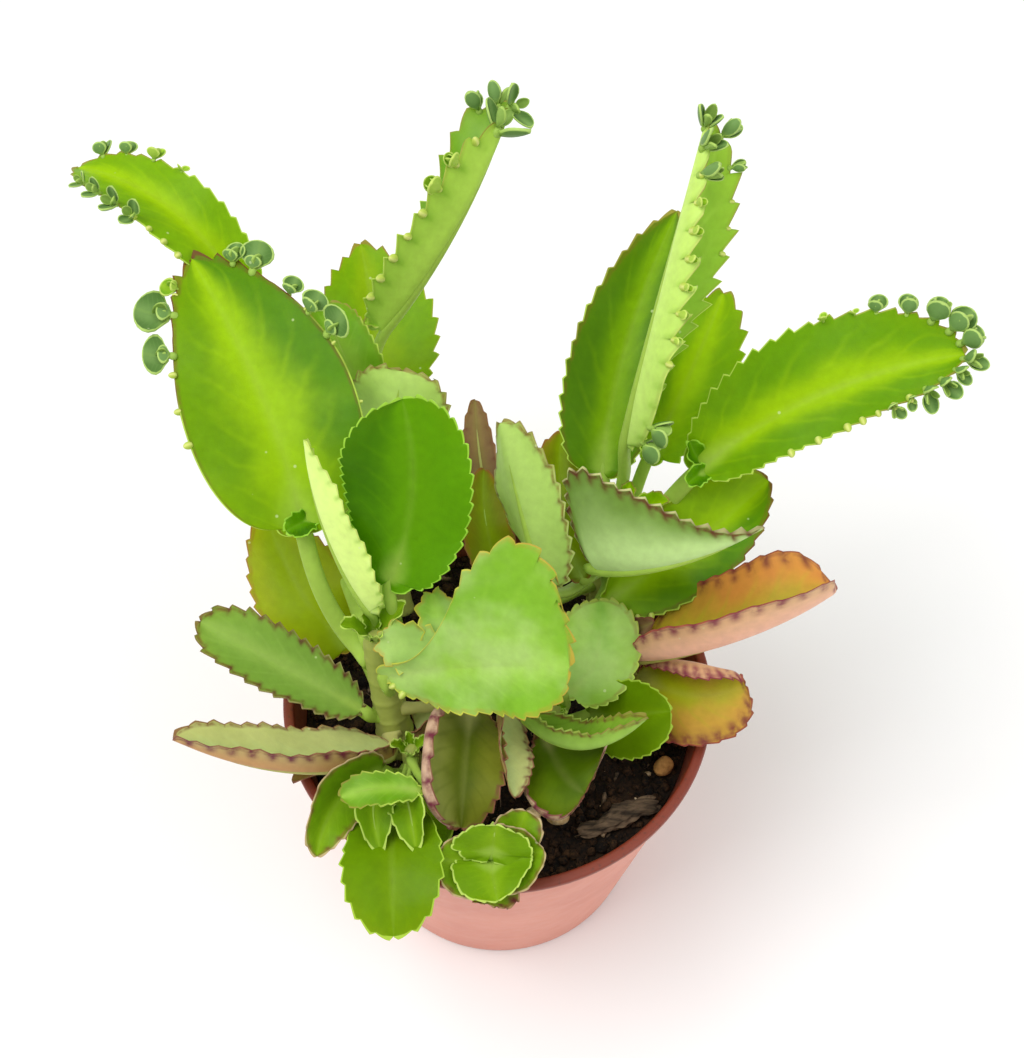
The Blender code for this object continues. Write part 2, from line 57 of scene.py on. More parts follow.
LOG = logging.getLogger("mother_of_thousands")
MM = 0.001
BODY = "root"
VEINS = 7.0
VEIN_SLANT = 2.2
VEIN_SHOW = 0.27
MIDRIB_SHOW = 0.09
COLLAR_SHOW = 0.7
RIM_SHOW = 0.92
MOTTLE = 0.28
SPECK_SCALE = 105.0
SPECK_RADII = (0.03, 0.055)
SPECK_SHOW = 0.45
# Pale colour of patches that paint highlights on the leaves and also stand for a waxy coat.
WAX_AND_SHEEN = (0.46, 0.66, 0.2)
SPECK = (0.75, 0.85, 0.45)
STEM_SIDES = 36
STALK_SIDES = 18
BARK_SIDES = 56
BARK_ROWS = 60
BED_SIDES = 260
EDGE_THICK = 0.38
KEEL_SINK = 0.7
GROOVE = (0.3, 2.2)
TOOTH_LIFT = 0.12
UNEVEN = 0.16
BLOT_ALONG = 0.75
BLOT_INWARD = (0.9, 2.3)
PLAIN = (10.0, 0.0, 0.0)
STALKED = (10.0, 0.0, 1.0)


class Half(Enum):
    """The two halves of a blade, seen from above with the tip away."""

    LEFT = 0
    RIGHT = 1


class Brood(Enum):
    """What grows in the notches of a leaf's margin."""

    BEADS = "beads"
    SPROUTS = "sprouts"
    PLANTLETS = "plantlets"


# --- small geometry helpers


def unit(vector: Array) -> Array:
    """Scale a vector, or each row of an array, to length one.

    Args:
        vector: One vector or rows of vectors.

    Returns:
        The same shape with unit lengths.
    """
    length = np.linalg.norm(vector, axis=-1, keepdims=True)
    return vector / np.maximum(length, 1e-9)


def smooth(low: float, high: float, value: Array) -> Array:
    """Ease from 0 at low to 1 at high.

    Args:
        low: Where the step starts.
        high: Where the step ends.
        value: Values to ease.

    Returns:
        Eased values between 0 and 1.
    """
    share = np.clip((np.asarray(value, float) - low) / (high - low), 0, 1)
    return share * share * (3 - 2 * share)


def taper(u: Array) -> Array:
    """Give how a blade thins along its length, at shares of that length."""
    return np.clip(1.15 - u, 0.2, 1)


def bend(ends: list[Array], steps: Array) -> tuple[Array, Array]:
    """Follow a curve through three points, running straight on past its ends.

    Args:
        ends: First, middle and last point.
        steps: Positions along the curve, 0 to 1 between the ends.

    Returns:
        Points and unit directions.
    """
    first, middle, last = ends
    pull = 2 * middle - 0.5 * (first + last)
    steps = np.asarray(steps, float)
    t = np.clip(steps, 0, 1)[..., None]
    points = (1 - t) ** 2 * first + 2 * t * (1 - t) * pull + t * t * last
    along = 2 * (1 - t) * (pull - first) + 2 * t * (last - pull)
    points = points + along * (steps[..., None] - t)
    return points, unit(along)


def circle(count: int) -> Array:
    """Give evenly spaced angles round one full turn."""
    return np.linspace(0, 2 * math.pi, count, endpoint=False)


def spun(angle: float) -> Array:
    """Give the matrix that turns row vectors about the vertical by an angle in radians."""
    c, s = math.cos(angle), math.sin(angle)
    return np.array([[c, s, 0], [-s, c, 0], [0, 0, 1]])


def hoops(side: Array, front: Array, turn: Array, deep: Array | float = 1.0) -> Array:
    """Lay a ring of directions round each point of a line.

    Args:
        side: The direction of angle 0 at each point.
        front: The direction of a quarter turn at each point.
        turn: Angles in radians.
        deep: Share by which the front part is kept.

    Returns:
        One direction for each point and angle.
    """
    return np.cos(turn)[None, :, None] * side[:, None] + (deep * np.sin(turn))[None, :, None] * front[:, None]


def grid_faces(rows: int, columns: int, start: int = 0, flip: bool = False,
               ring: bool = False) -> Faces:
    """List the quads of a grid of points.

    Args:
        rows: Number of rows of points.
        columns: Number of points in each row.
        start: Index of the first point.
        flip: Turn the faces over.
        ring: Join the last column to the first.

    Returns:
        Four indices for each quad.
    """
    i, j = np.meshgrid(np.arange(rows - 1), np.arange(columns if ring else columns - 1), indexing="ij")
    k = (j + 1) % columns
    quads = np.stack([i * columns + j, i * columns + k, (i + 1) * columns + k, (i + 1) * columns + j], -1)
    quads = quads.reshape(-1, 4) + start
    return (quads[:, ::-1] if flip else quads).tolist()


def tube_faces(rows: int, columns: int, flip: bool = False) -> Faces:
    """List the faces of a stack of closed rings with a cap at each end.

    Args:
        rows: Number of rings.
        columns: Number of points in each ring.
        flip: Turn the faces over.

    Returns:
        The indices of each face.
    """
    last = (rows - 1) * columns
    faces = grid_faces(rows, columns, ring=True)
    faces += [list(range(columns))[::-1], list(range(last, last + columns))]
    return [face[::-1] for face in faces] if flip else faces


def shell_faces(rows: int, columns: int, flip: bool = False) -> Faces:
    """List the faces of a thin sheet: its top grid, the under grid after it, and the rim.

    Args:
        rows: Number of rows of points on each side.
        columns: Number of points in each row.
        flip: Turn the faces over.

    Returns:
        Four indices for each face.
    """
    count = rows * columns
    rim = []
    for a in range(0, count - columns, columns):
        b, c, d = a + columns, a + columns - 1, a + 2 * columns - 1
        rim += [[a, b, b + count, a + count], [c, c + count, d + count, d]]
    for a in range(columns - 1):
        b = count - columns + a
        rim += [[a, a + count, a + 1 + count, a + 1], [b, b + 1, b + 1 + count, b + count]]
    if flip:
        rim = [[face[0], *face[:0:-1]] for face in rim]
    return grid_faces(rows, columns, flip=flip) + grid_faces(rows, columns, count, flip=not flip) + rim


def take(shape: bmesh.types.BMesh) -> tuple[Array, Faces]:
    """Read the points and faces of a bmesh, and free it.

    Args:
        shape: The bmesh.

    Returns:
        Points and faces.
    """
    points = np.array([tuple(vertex.co) for vertex in shape.verts])
    faces = [[vertex.index for vertex in face.verts] for face in shape.faces]
    shape.free()
    return points, faces


def sorted_mesh(points: Array, faces: Faces) -> tuple[Array, Faces]:
    """Put points and faces in an order that is the same in each run.

    Args:
        points: The points.
        faces: The indices of each face.

    Returns:
        The same points and faces, in order.
    """
    order = np.lexsort(np.round(points, 4).T)
    rank = np.argsort(order)
    turned = []
    for face in faces:
        face = rank[face].tolist()
        first = face.index(min(face))
        turned.append(face[first:] + face[:first])
    return points[order], sorted(turned)


def ball(level: int) -> tuple[Array, Faces]:
    """Make a ball of radius one.

    Args:
        level: How often its faces are divided.

    Returns:
        Points and faces.
    """
    shape = bmesh.new()
    bmesh.ops.create_icosphere(shape, subdivisions=level, radius=1.0)
    return take(shape)


def link(name: str, data: bpy.types.ID) -> Piece:
    """Put a mesh, a lamp or a camera into the scene.

    Args:
        name: Name of the new object.
        data: What it shows.

    Returns:
        The object.
    """
    made = bpy.data.objects.new(name, data)
    bpy.context.scene.collection.objects.link(made)
    return made


def skin_mesh(name: str, points: Array, faces: Faces, material: Material) -> bpy.types.Mesh:
    """Make a smooth mesh whose faces look outward.

    Args:
        name: Its name.
        points: Points in millimetres.
        faces: The indices of each face.
        material: Its material.

    Returns:
        The mesh, in metres.
    """
    mesh = bpy.data.meshes.new(name)
    mesh.from_pydata((points * MM).tolist(), [], faces)
    mesh.materials.append(material)
    shape = bmesh.new()
    shape.from_mesh(mesh)
    bmesh.ops.recalc_face_normals(shape, faces=shape.faces)
    shape.to_mesh(mesh)
    shape.free()
    mesh.shade_smooth()
    return mesh


class Draft:
    """Gathers points, faces and surface notes, then makes one mesh piece of them.

    The notes are two vectors for each point. "lie" holds the share of the length, the
    share of the half width (below zero on the left half), and 1 on an underside. "trim"
    holds the distance from the margin in millimetres, a mask for the notches, and 1 on a
    stalk.
    """

    def __init__(self, name: str) -> None:
        """Start an empty draft.

        Args:
            name: Name of its piece.
        """
        self.name = name
        self.points: list[Array] = []
        self.faces: Faces = []
        self.lie: list[Array] = []
        self.trim: list[Array] = []
        self.count = 0

    def add(self, points: Array, faces: Array | list, lie: Array, trim: Array) -> None:
        """Add one patch.

        Args:
            points: Points in millimetres.
            faces: Indices into these points.
            lie: Where each point lies on its leaf.
            trim: Margin distance, notch mask and stalk mask.
        """
        points = np.asarray(points, float).reshape(-1, 3)
        self.points.append(points)
        self.faces += [[int(v) + self.count for v in face] for face in faces]
        self.lie.append(np.broadcast_to(np.asarray(lie, float), points.shape))
        self.trim.append(np.broadcast_to(np.asarray(trim, float), points.shape))
        self.count += len(points)

    def build(self, material: Material) -> Piece:
        """Make the piece.

        Args:
            material: Its material.

        Returns:
            The new object, riding on the plant's only body.
        """
        mesh = skin_mesh(self.name, np.concatenate(self.points), self.faces, material)
        for key, rows in (("lie", self.lie), ("trim", self.trim)):
            note = mesh.attributes.new(key, "FLOAT_VECTOR", "POINT")
            note.data.foreach_set("vector", np.concatenate(rows).astype(np.float32).ravel())
        mesh.update()
        piece = link(self.name, mesh)
        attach(piece, BODY)
        return piece


# --- shader groups


def set_inputs(node: Node, **values: object) -> None:
    """Set constant values on a node's own sockets, with underscores for spaces."""
    for key, value in values.items():
        node.inputs[key.replace("_", " ")].default_value = value


class Graph:
    """A short way to lay nodes in one node tree."""

    def __init__(self, tree: bpy.types.NodeTree) -> None:
        """Work in this tree."""
        self.tree = tree

    def node(self, kind: str, **values: object) -> Node:
        """Add a node and set its properties.

        Args:
            kind: Node type without the "ShaderNode" prefix.
            values: Properties by name.

        Returns:
            The new node.
        """
        made = self.tree.nodes.new(kind if kind.startswith("Node") else "ShaderNode" + kind)
        for key, value in values.items():
            setattr(made, key, value)
        return made

    def put(self, source: object, socket: Socket) -> None:
        """Link a socket, or set a plain value.

        Args:
            source: An output socket, a number or a colour.
            socket: The input to feed.
        """
        if isinstance(source, Socket):
            self.tree.links.new(source, socket)
        elif socket.type == "RGBA" and len(source) == 3:
            socket.default_value = (*source, 1.0)
        else:
            socket.default_value = source

    def math(self, operation: str, *sources: object, clamp: bool = False) -> Socket:
        """Add a Math node.

        Args:
            operation: Its operation.
            sources: Its inputs in order.
            clamp: Keep the result between 0 and 1.

        Returns:
            The value socket.
        """
        made = self.node("Math", operation=operation, use_clamp=clamp)
        for source, socket in zip(sources, made.inputs):
            self.put(source, socket)
        return made.outputs[0]

    def times(self, first: object, second: object, clamp: bool = False) -> Socket:
        """Multiply two values."""
        return self.math("MULTIPLY", first, second, clamp=clamp)

    def plus(self, first: object, second: object) -> Socket:
        """Add two values."""
        return self.math("ADD", first, second)

    def minus(self, first: object, second: object) -> Socket:
        """Take the second value from the first."""
        return self.math("SUBTRACT", first, second)

    def rest(self, value: object) -> Socket:
        """Give what a value lacks to 1."""
        return self.math("SUBTRACT", 1.0, value)

    def vector(self, *parts: object) -> Socket:
        """Join three values into a vector.

        Args:
            parts: The values.

        Returns:
            The vector socket.
        """
        made = self.node("CombineXYZ")
        for part, socket in zip(parts, made.inputs):
            self.put(part, socket)
        return made.outputs[0]

    def here(self) -> Socket:
        """Give the place in the object's own coordinates."""
        return self.node("TexCoord").outputs["Object"]

    def step(self, low: object, high: object, value: object) -> Socket:
        """Ease a value.

        Args:
            low: Where the result leaves 0.
            high: Where it reaches 1.
            value: The value.

        Returns:
            The value socket.
        """
        made = self.node("MapRange", interpolation_type="SMOOTHSTEP")
        for source, name in ((value, "Value"), (low, "From Min"), (high, "From Max")):
            self.put(source, made.inputs[name])
        return made.outputs["Result"]

    def mix(self, share: object, first: object, second: object, blend: str = "MIX") -> Socket:
        """Mix two colours.

        Args:
            share: How much of the second.
            first: First colour.
            second: Second colour.
            blend: Blend type.

        Returns:
            The colour socket.
        """
        made = self.node("Mix", data_type="RGBA", blend_type=blend)
        for source, index in ((share, 0), (first, 6), (second, 7)):
            self.put(source, made.inputs[index])
        return made.outputs[2]

    def noise(self, scale: object, detail: float = 3.0, where: object = None) -> Socket:
        """Add a noise texture in the object's own coordinates.

        Args:
            scale: Features for each metre.
            detail: Octaves.
            where: Coordinates, or None for the object's.

        Returns:
            The value socket.
        """
        made = self.node("TexNoise")
        self.put(self.here() if where is None else where, made.inputs["Vector"])
        self.put(scale, made.inputs["Scale"])
        made.inputs["Detail"].default_value = detail
        return made.outputs["Fac"]

    def split(self, vector: Socket) -> list[Socket]:
        """Split a vector.

        Args:
            vector: The vector socket.

        Returns:
            Its three values.
        """
        made = self.node("SeparateXYZ")
        self.put(vector, made.inputs[0])
        return list(made.outputs)

    def note(self, name: str) -> list[Socket]:
        """Read one of a piece's surface notes as three values."""
        return self.split(self.node("Attribute", attribute_name=name).outputs["Vector"])

    def relief(self, shader: Node, height: object, strength: float, depth: float) -> None:
        """Raise a relief on a shader.

        Args:
            shader: The Principled shader.
            height: The height socket.
            strength: How strongly it shows.
            depth: Depth of the relief in metres.
        """
        made = self.node("Bump")
        set_inputs(made, Strength=strength, Distance=depth)
        self.put(height, made.inputs["Height"])
        self.put(made.outputs["Normal"], shader.inputs["Normal"])


class Recipe:
    """A shader node group with named inputs and outputs."""

    def __init__(self, name: str, inputs: dict[str, object], outputs: dict[str, str]) -> None:
        """Make the group and its sockets.

        Args:
            name: Name of the group.
            inputs: Default for each input: a number or a colour.
            outputs: Socket type for each output.
        """
        self.tree = bpy.data.node_groups.new(name, "ShaderNodeTree")
        for key, value in inputs.items():
            kind = "NodeSocketColor" if isinstance(value, tuple) else "NodeSocketFloat"
            socket = self.tree.interface.new_socket(key, in_out="INPUT", socket_type=kind)
            socket.default_value = (*value, 1.0) if isinstance(value, tuple) else value
        for key, kind in outputs.items():
            self.tree.interface.new_socket(key, in_out="OUTPUT", socket_type=kind)
        self.graph = Graph(self.tree)
        self.given = self.graph.node("NodeGroupInput").outputs
        self.made = self.graph.node("NodeGroupOutput").inputs

    def give(self, key: str, source: object) -> None:
        """Feed one of the group's outputs."""
        self.graph.put(source, self.made[key])

    def place(self, graph: Graph, **values: object) -> Socket:
        """Place the group in a material.

        Args:
            graph: The material's graph.
            values: Inputs by name, with underscores for spaces.

        Returns:
            The group node's outputs.
        """
        made = graph.node("Group", node_tree=self.tree)
        for key, value in values.items():
            graph.put(value, made.inputs[key.replace("_", " ")])
        return made.outputs


def slanted(g: Graph, along: object, off: object) -> Socket:
    """Give the value that counts the side veins, which slant from the midrib to the tip."""
    return g.minus(g.times(along, VEINS), g.times(off, VEIN_SLANT))


def blade_tone_recipe() -> Recipe:
    """Build the group that colours a leaf from its midrib to its margin, with painted shade over the outer
    part and pale patches that paint highlights.

    Returns:
        The group, with a Colour output.
    """
    black = (0.0, 0.0, 0.0)
    inputs = {key: 0.0 for key in ("Along", "Across", "Underside", "Margin", "Notch", "Stalk", "Line Share",
                                   "Mark Share", "Tip Share", "Rim Width", "Rust", "Under Fade", "Lean",
                                   "Bloom")}
    inputs |= {key: black for key in ("Middle", "Outer", "Shade", "Under", "Rim", "Line", "Mark", "Tip",
                                      "Stalk Tone", "Under Mark")}
    recipe = Recipe("blade_tone", inputs, {"Colour": "NodeSocketColor"})
    g, v = recipe.graph, recipe.given
    cloud = g.minus(g.noise(70.0, 2.0), 0.5)
    fine = g.minus(g.noise(420.0, 3.0), 0.5)
    off = g.math("ABSOLUTE", v["Across"])
    across = g.plus(off, g.times(cloud, 0.45))
    tone = g.mix(g.step(0.02, 0.62, across), v["Middle"], v["Outer"])
    # Painted shade: the shade colour covers the outer part of the blade away from the stalk, and lean keeps
    # it to one half.
    deep = g.times(g.step(0.12, 0.7, across), g.step(-0.2, 0.5, g.plus(v["Along"], cloud)))
    side = g.math("MULTIPLY_ADD", g.step(-0.2, 0.2, v["Across"]), 2.0, -1.0)
    deep = g.times(deep, g.math("MULTIPLY_ADD", v["Lean"], side, 1.0, clamp=True))
    ribs = g.plus(slanted(g, v["Along"], off), g.times(cloud, 1.2))
    ribs = g.times(g.rest(g.step(0.0, 0.2, g.math("PINGPONG", ribs, 0.5))), VEIN_SHOW)
    ribs = g.times(ribs, g.rest(g.step(0.4, 0.95, off)))
    collar = g.rest(g.step(0.0, 0.3, g.plus(v["Along"], g.times(off, 0.5))))
    tip = g.step(0.45, 1.0, g.plus(v["Along"], cloud))
    # Pale patches that paint highlights and also stand for a waxy coat.
    bloom = g.step(0.4, 0.66, g.noise(48.0, 3.0))
    for mask, colour in ((deep, v["Shade"]), (g.times(ribs, g.step(0.05, 0.25, off)), v["Middle"]),
                         (g.times(g.rest(g.step(0.0, 0.12, off)), MIDRIB_SHOW), v["Stalk Tone"]),
                         (g.times(collar, COLLAR_SHOW), v["Stalk Tone"]),
                         (g.times(tip, v["Tip Share"]), v["Tip"]), (g.times(bloom, v["Bloom"]), WAX_AND_SHEEN)):
        tone = g.mix(mask, tone, colour)
    mottle = g.plus(1.0, g.times(fine, MOTTLE))
    below = g.mix(g.times(g.step(0.1, 0.95, across), v["Under Fade"]), v["Under"], v["Outer"])
    tone = g.mix(v["Underside"], tone, below)
    line = g.minus(g.step(0.25, 0.55, v["Margin"]), g.step(0.7, 1.5, v["Margin"]))
    line = g.times(line, g.step(-0.25, 0.15, fine))
    tone = g.mix(g.times(line, v["Line Share"]), tone, v["Line"])
    rim = g.rest(g.step(g.times(v["Rim Width"], 0.55), v["Rim Width"], v["Margin"]))
    rust = g.times(g.step(0.35, 0.85, g.plus(v["Along"], cloud)), v["Rust"])
    tone = g.mix(g.times(rim, RIM_SHOW), tone, g.mix(rust, v["Rim"], v["Line"]))
    mark = g.times(v["Notch"], v["Mark Share"])
    mark = g.times(mark, g.step(-0.3, 0.1, fine))
    tone = g.mix(g.times(mark, 1.0, clamp=True), tone, g.mix(v["Underside"], v["Mark"], v["Under Mark"]))
    tone = g.mix(v["Stalk"], tone, v["Stalk Tone"])
    specks = g.node("TexVoronoi", feature="F1")
    g.put(g.here(), specks.inputs["Vector"])
    specks.inputs["Scale"].default_value = SPECK_SCALE
    dot = g.rest(g.step(*SPECK_RADII, specks.outputs["Distance"]))
    tone = g.mix(g.times(dot, SPECK_SHOW), tone, SPECK)
    grey = g.node("CombineColor")
    for socket in grey.inputs:
        g.put(mottle, socket)
    recipe.give("Colour", g.mix(1.0, tone, grey.outputs[0], "MULTIPLY"))
    return recipe


def skin_recipe() -> Recipe:
    """Build the group for the fine relief and sheen of plant skin.

    Returns:
        The group, with Height and Roughness outputs.
    """
    recipe = Recipe("plant_skin", {"Along": 0.0, "Across": 0.0, "Gloss": 0.4},
                    {"Height": "NodeSocketFloat", "Roughness": "NodeSocketFloat"})
    g, v = recipe.graph, recipe.given
    ribs = slanted(g, v["Along"], g.math("ABSOLUTE", v["Across"]))
    ribs = g.step(0.0, 0.12, g.math("PINGPONG", ribs, 0.5))
    height = g.plus(g.times(g.noise(2600.0, 2.0), 0.22), g.times(g.noise(260.0, 2.0), 0.9))
    recipe.give("Height", g.plus(height, g.times(ribs, 0.08)))
    rough = g.plus(v["Gloss"], g.times(g.minus(g.noise(160.0, 3.0), 0.5), 0.28))
    recipe.give("Roughness", rough)
    return recipe


def earth_recipe() -> Recipe:
    """Build the group for peat, grit, bark and stone: a broken tone and a rough relief.

    Returns:
        The group, with Colour and Height outputs.
    """
    recipe = Recipe("earth_tone", {"Dark": (0.0, 0.0, 0.0), "Light": (0.1, 0.1, 0.1), "Scale": 600.0,
                                   "Stretch": 1.0, "Piece": 0.0},
                    {"Colour": "NodeSocketColor", "Height": "NodeSocketFloat"})
    g, v = recipe.graph, recipe.given
    spread = g.node("VectorMath", operation="MULTIPLY")
    g.put(g.here(), spread.inputs[0])
    g.put(g.vector(v["Stretch"], 1.0, 1.0), spread.inputs[1])
    grain = g.noise(v["Scale"], 6.0, spread.outputs[0])
    coarse = g.noise(g.times(v["Scale"], 0.2), 3.0, spread.outputs[0])
    share = g.plus(g.times(grain, 0.6), g.times(coarse, 0.4))
    share = g.plus(g.step(0.36, 0.66, share), v["Piece"])
    recipe.give("Colour", g.mix(g.times(share, 1.0, clamp=True), v["Dark"], v["Light"]))
    recipe.give("Height", g.plus(grain, g.times(coarse, 1.4)))
    return recipe


class Recipes:
    """The shader groups and the finishes' materials, each made once."""

    def __init__(self) -> None:
        """Build every group."""
        self.blade = blade_tone_recipe()
        self.skin = skin_recipe()
        self.earth = earth_recipe()
        self.made: dict[str, Material] = {}

    def dress(self, finish: "LeafFinish") -> Material:
        """Give a finish's material, and make it at the first call.

        Args:
            finish: The finish.

        Returns:
            Its material.
        """
        if finish.name not in self.made:
            self.made[finish.name] = finish.make(self)
        return self.made[finish.name]


def new_material(name: str) -> tuple[Material, Graph, Node]:
    """Start a material.

    Args:
        name: Name of the material.

    Returns:
        The material, its graph and its Principled shader.
    """
    material = bpy.data.materials.new(name)
    material.use_nodes = True
    graph = Graph(material.node_tree)
    return material, graph, material.node_tree.nodes["Principled BSDF"]


# --- finishes


@dataclass(frozen=True)
class LeafFinish:
    """Colours and surface of one sort of leaf, in linear light.

    middle, outer, shade: from the midrib outwards. shade covers the outer part of the blade:
    on most finishes it is painted shade, on a few a lighter tone, and on the reddened ones the
    real red of the margin. under: the underside, faded towards outer by under_fade. rim,
    rim_width, rust: the margin, its width in millimetres, and how far it turns to the line's
    colour near the tip. line: a thin line inside the rim. mark, under_mark: blots at the
    notches, and their colour below if it differs. lean: 1 keeps the shade colour, and with it
    the painted shade, on the right half, -1 on the left. bloom: pale patches that paint
    highlights and also stand for a waxy coat. gloss: roughness. glow: light that passes
    through.
    """

    name: str
    middle: Colour
    outer: Colour
    shade: Colour
    under: Colour
    rim: Colour
    line: Colour = (0.25, 0.07, 0.02)
    line_share: float = 0.0
    mark: Colour = (0.1, 0.015, 0.02)
    under_mark: Colour | None = None
    mark_share: float = 0.0
    tip: Colour = (0.6, 0.3, 0.03)
    tip_share: float = 0.0
    stalk: Colour = (0.38, 0.56, 0.085)
    rim_width: float = 0.45
    rust: float = 0.0
    under_fade: float = 0.35
    lean: float = 0.0
    bloom: float = 0.0
    gloss: float = 0.38
    glow: float = 0.12
    slot: str = "leaf_green"

    def make(self, recipes: Recipes) -> Material:
        """Make the material.

        Args:
            recipes: The shader groups.

        Returns:
            The material.
        """
        material, g, shader = new_material(self.name)
        along, across, under = g.note("lie")
        margin, notch, stalk = g.note("trim")
        looks = {key.title(): getattr(self, key) for key in (
            "middle", "outer", "shade", "under", "rim", "line", "line_share", "mark", "mark_share", "tip",
            "tip_share", "rim_width", "rust", "under_fade", "lean", "bloom")}
        tone = recipes.blade.place(g, Along=along, Across=across, Underside=under, Margin=margin,
                                   Notch=notch, Stalk=stalk, Stalk_Tone=self.stalk,
                                   Under_Mark=self.under_mark or self.mark, **looks)
        g.put(tone["Colour"], shader.inputs["Base Color"])
        skin = recipes.skin.place(g, Along=along, Across=across, Gloss=self.gloss)
        g.put(skin["Roughness"], shader.inputs["Roughness"])
        g.relief(shader, skin["Height"], 0.35, 0.0004)
        set_inputs(shader, Subsurface_Weight=self.glow, Subsurface_Radius=(0.9, 1.0, 0.25),
                   Subsurface_Scale=0.0015, Specular_IOR_Level=0.08)
        return material


SUNLIT = LeafFinish("leaf_sunlit", (0.32, 0.54, 0.001), (0.23, 0.44, 0.001), (0.18, 0.38, 0.001),
    (0.44, 0.64, 0.12), (0.5, 0.7, 0.1), line=(0.2, 0.06, 0.02), rust=0.7)
# The dark shade colour here is painted shade, kept on the right half by lean; BROAD spreads part of it to the
# left half too.
BROWN_EDGED = replace(SUNLIT, name="leaf_sunlit_brown_edge", middle=(0.3, 0.52, 0.001),
    outer=(0.21, 0.39, 0.001), shade=(0.085, 0.235, 0.001), lean=1.0, line_share=0.5,
    line=(0.16, 0.045, 0.02), rust=1.0)
BROAD = replace(BROWN_EDGED, name="leaf_sunlit_broad", lean=0.45)
# A copy of SUNLIT with darker outer and shade colours that paint deeper shade.
SUNLIT_DEEPER_SHADE = replace(SUNLIT, name="leaf_sunlit_deeper_shade", outer=(0.2, 0.4, 0.001), shade=(0.13, 0.31, 0.001))
# A darker, shaded copy of SUNLIT: its colours paint shade over the whole leaf.
SHADED = replace(SUNLIT, name="leaf_shaded", middle=(0.18, 0.35, 0.001), outer=(0.11, 0.26, 0.001),
    shade=(0.07, 0.18, 0.001), line_share=0.35)
# Dark green, with lean -1 keeping the painted shade on the left half.
DEEP = replace(SUNLIT, name="leaf_deep", middle=(0.11, 0.3, 0.001), outer=(0.1, 0.29, 0.001),
    shade=(0.05, 0.17, 0.001), rim=(0.36, 0.68, 0.06), rust=0.0, gloss=0.34, lean=-1.0)
# The dark green marks at the notches paint shade round the beads and plantlets.
PALE = replace(SUNLIT, name="leaf_pale", middle=(0.52, 0.78, 0.1), outer=(0.4, 0.66, 0.07),
    shade=(0.3, 0.56, 0.04), under=(0.62, 0.86, 0.2), rim=(0.66, 0.8, 0.18), line_share=0.2,
    mark=(0.24, 0.48, 0.03), mark_share=0.6)
# The dark green marks at the notches paint shade round the beads and plantlets.
HAZY = replace(SUNLIT, name="leaf_hazy", middle=(0.3, 0.52, 0.05), outer=(0.25, 0.47, 0.03),
    shade=(0.15, 0.35, 0.01), under=(0.44, 0.67, 0.09), rim=(0.56, 0.74, 0.12), line_share=0.2,
    mark=(0.17, 0.38, 0.02), mark_share=0.6, bloom=0.2)
# Very pale colours that paint the light shining through a thin leaf.
BRIGHT = replace(PALE, name="leaf_translucent", middle=(0.8, 1.0, 0.3), outer=(0.72, 0.96, 0.2),
    shade=(0.64, 0.92, 0.14), under=(0.76, 0.98, 0.28), line_share=0.0, rust=0.0)
GREYED = replace(SUNLIT, name="leaf_greyed", middle=(0.38, 0.6, 0.11), outer=(0.3, 0.5, 0.075),
    shade=(0.24, 0.44, 0.05), under=(0.46, 0.66, 0.16), rim=(0.56, 0.66, 0.2), line_share=0.75,
    mark_share=0.5, gloss=0.45)
DUSKY = replace(GREYED, name="leaf_dusky", middle=(0.27, 0.43, 0.075), outer=(0.22, 0.38, 0.055),
    shade=(0.19, 0.34, 0.045), under=(0.55, 0.66, 0.3), rim=(0.34, 0.3, 0.12), line=(0.14, 0.04, 0.02),
    mark_share=0.8)
# Its dark outer colour paints the shade inside the folded trough.
TROUGH = replace(GREYED, name="leaf_trough", middle=(0.44, 0.62, 0.2), outer=(0.15, 0.27, 0.035),
    shade=(0.22, 0.36, 0.05), under=(0.52, 0.72, 0.27), rim=(0.66, 0.66, 0.3), line=(0.12, 0.035, 0.02),
    line_share=0.9, mark=(0.12, 0.035, 0.02), mark_share=0.9, rust=0.4,
    under_fade=0.95)
# Its dark middle paints the shade inside the fold.
FOLDED = replace(GREYED, name="leaf_folded", middle=(0.1, 0.21, 0.002), outer=(0.2, 0.37, 0.02),
    shade=(0.22, 0.4, 0.03), under=(0.3, 0.49, 0.08), rim=(0.5, 0.68, 0.12), mark_share=0.6)
# Strong pale patches paint highlights here and also stand for a waxy coat; MOSSY below keeps them.
FROSTED_SHEEN = replace(SUNLIT, name="leaf_frosted_sheen", middle=(0.33, 0.6, 0.06), outer=(0.26, 0.52, 0.035),
    shade=(0.22, 0.47, 0.03), under=(0.5, 0.68, 0.2), rim=(0.62, 0.62, 0.08), line=(0.48, 0.28, 0.04),
    line_share=0.4, rust=0.75, gloss=0.46, bloom=0.75)
MOSSY = replace(FROSTED_SHEEN, name="leaf_mossy", middle=(0.2, 0.43, 0.04), outer=(0.26, 0.5, 0.05),
    shade=(0.29, 0.52, 0.06), rim=(0.45, 0.62, 0.1), line=(0.25, 0.09, 0.03), rust=0.3)
OLIVE = replace(SUNLIT, name="leaf_olive_tone", middle=(0.27, 0.38, 0.002), outer=(0.24, 0.36, 0.002),
    shade=(0.3, 0.37, 0.004), under=(0.42, 0.48, 0.12), rim=(0.46, 0.26, 0.05), line=(0.28, 0.1, 0.02),
    line_share=0.5, slot="leaf_olive")
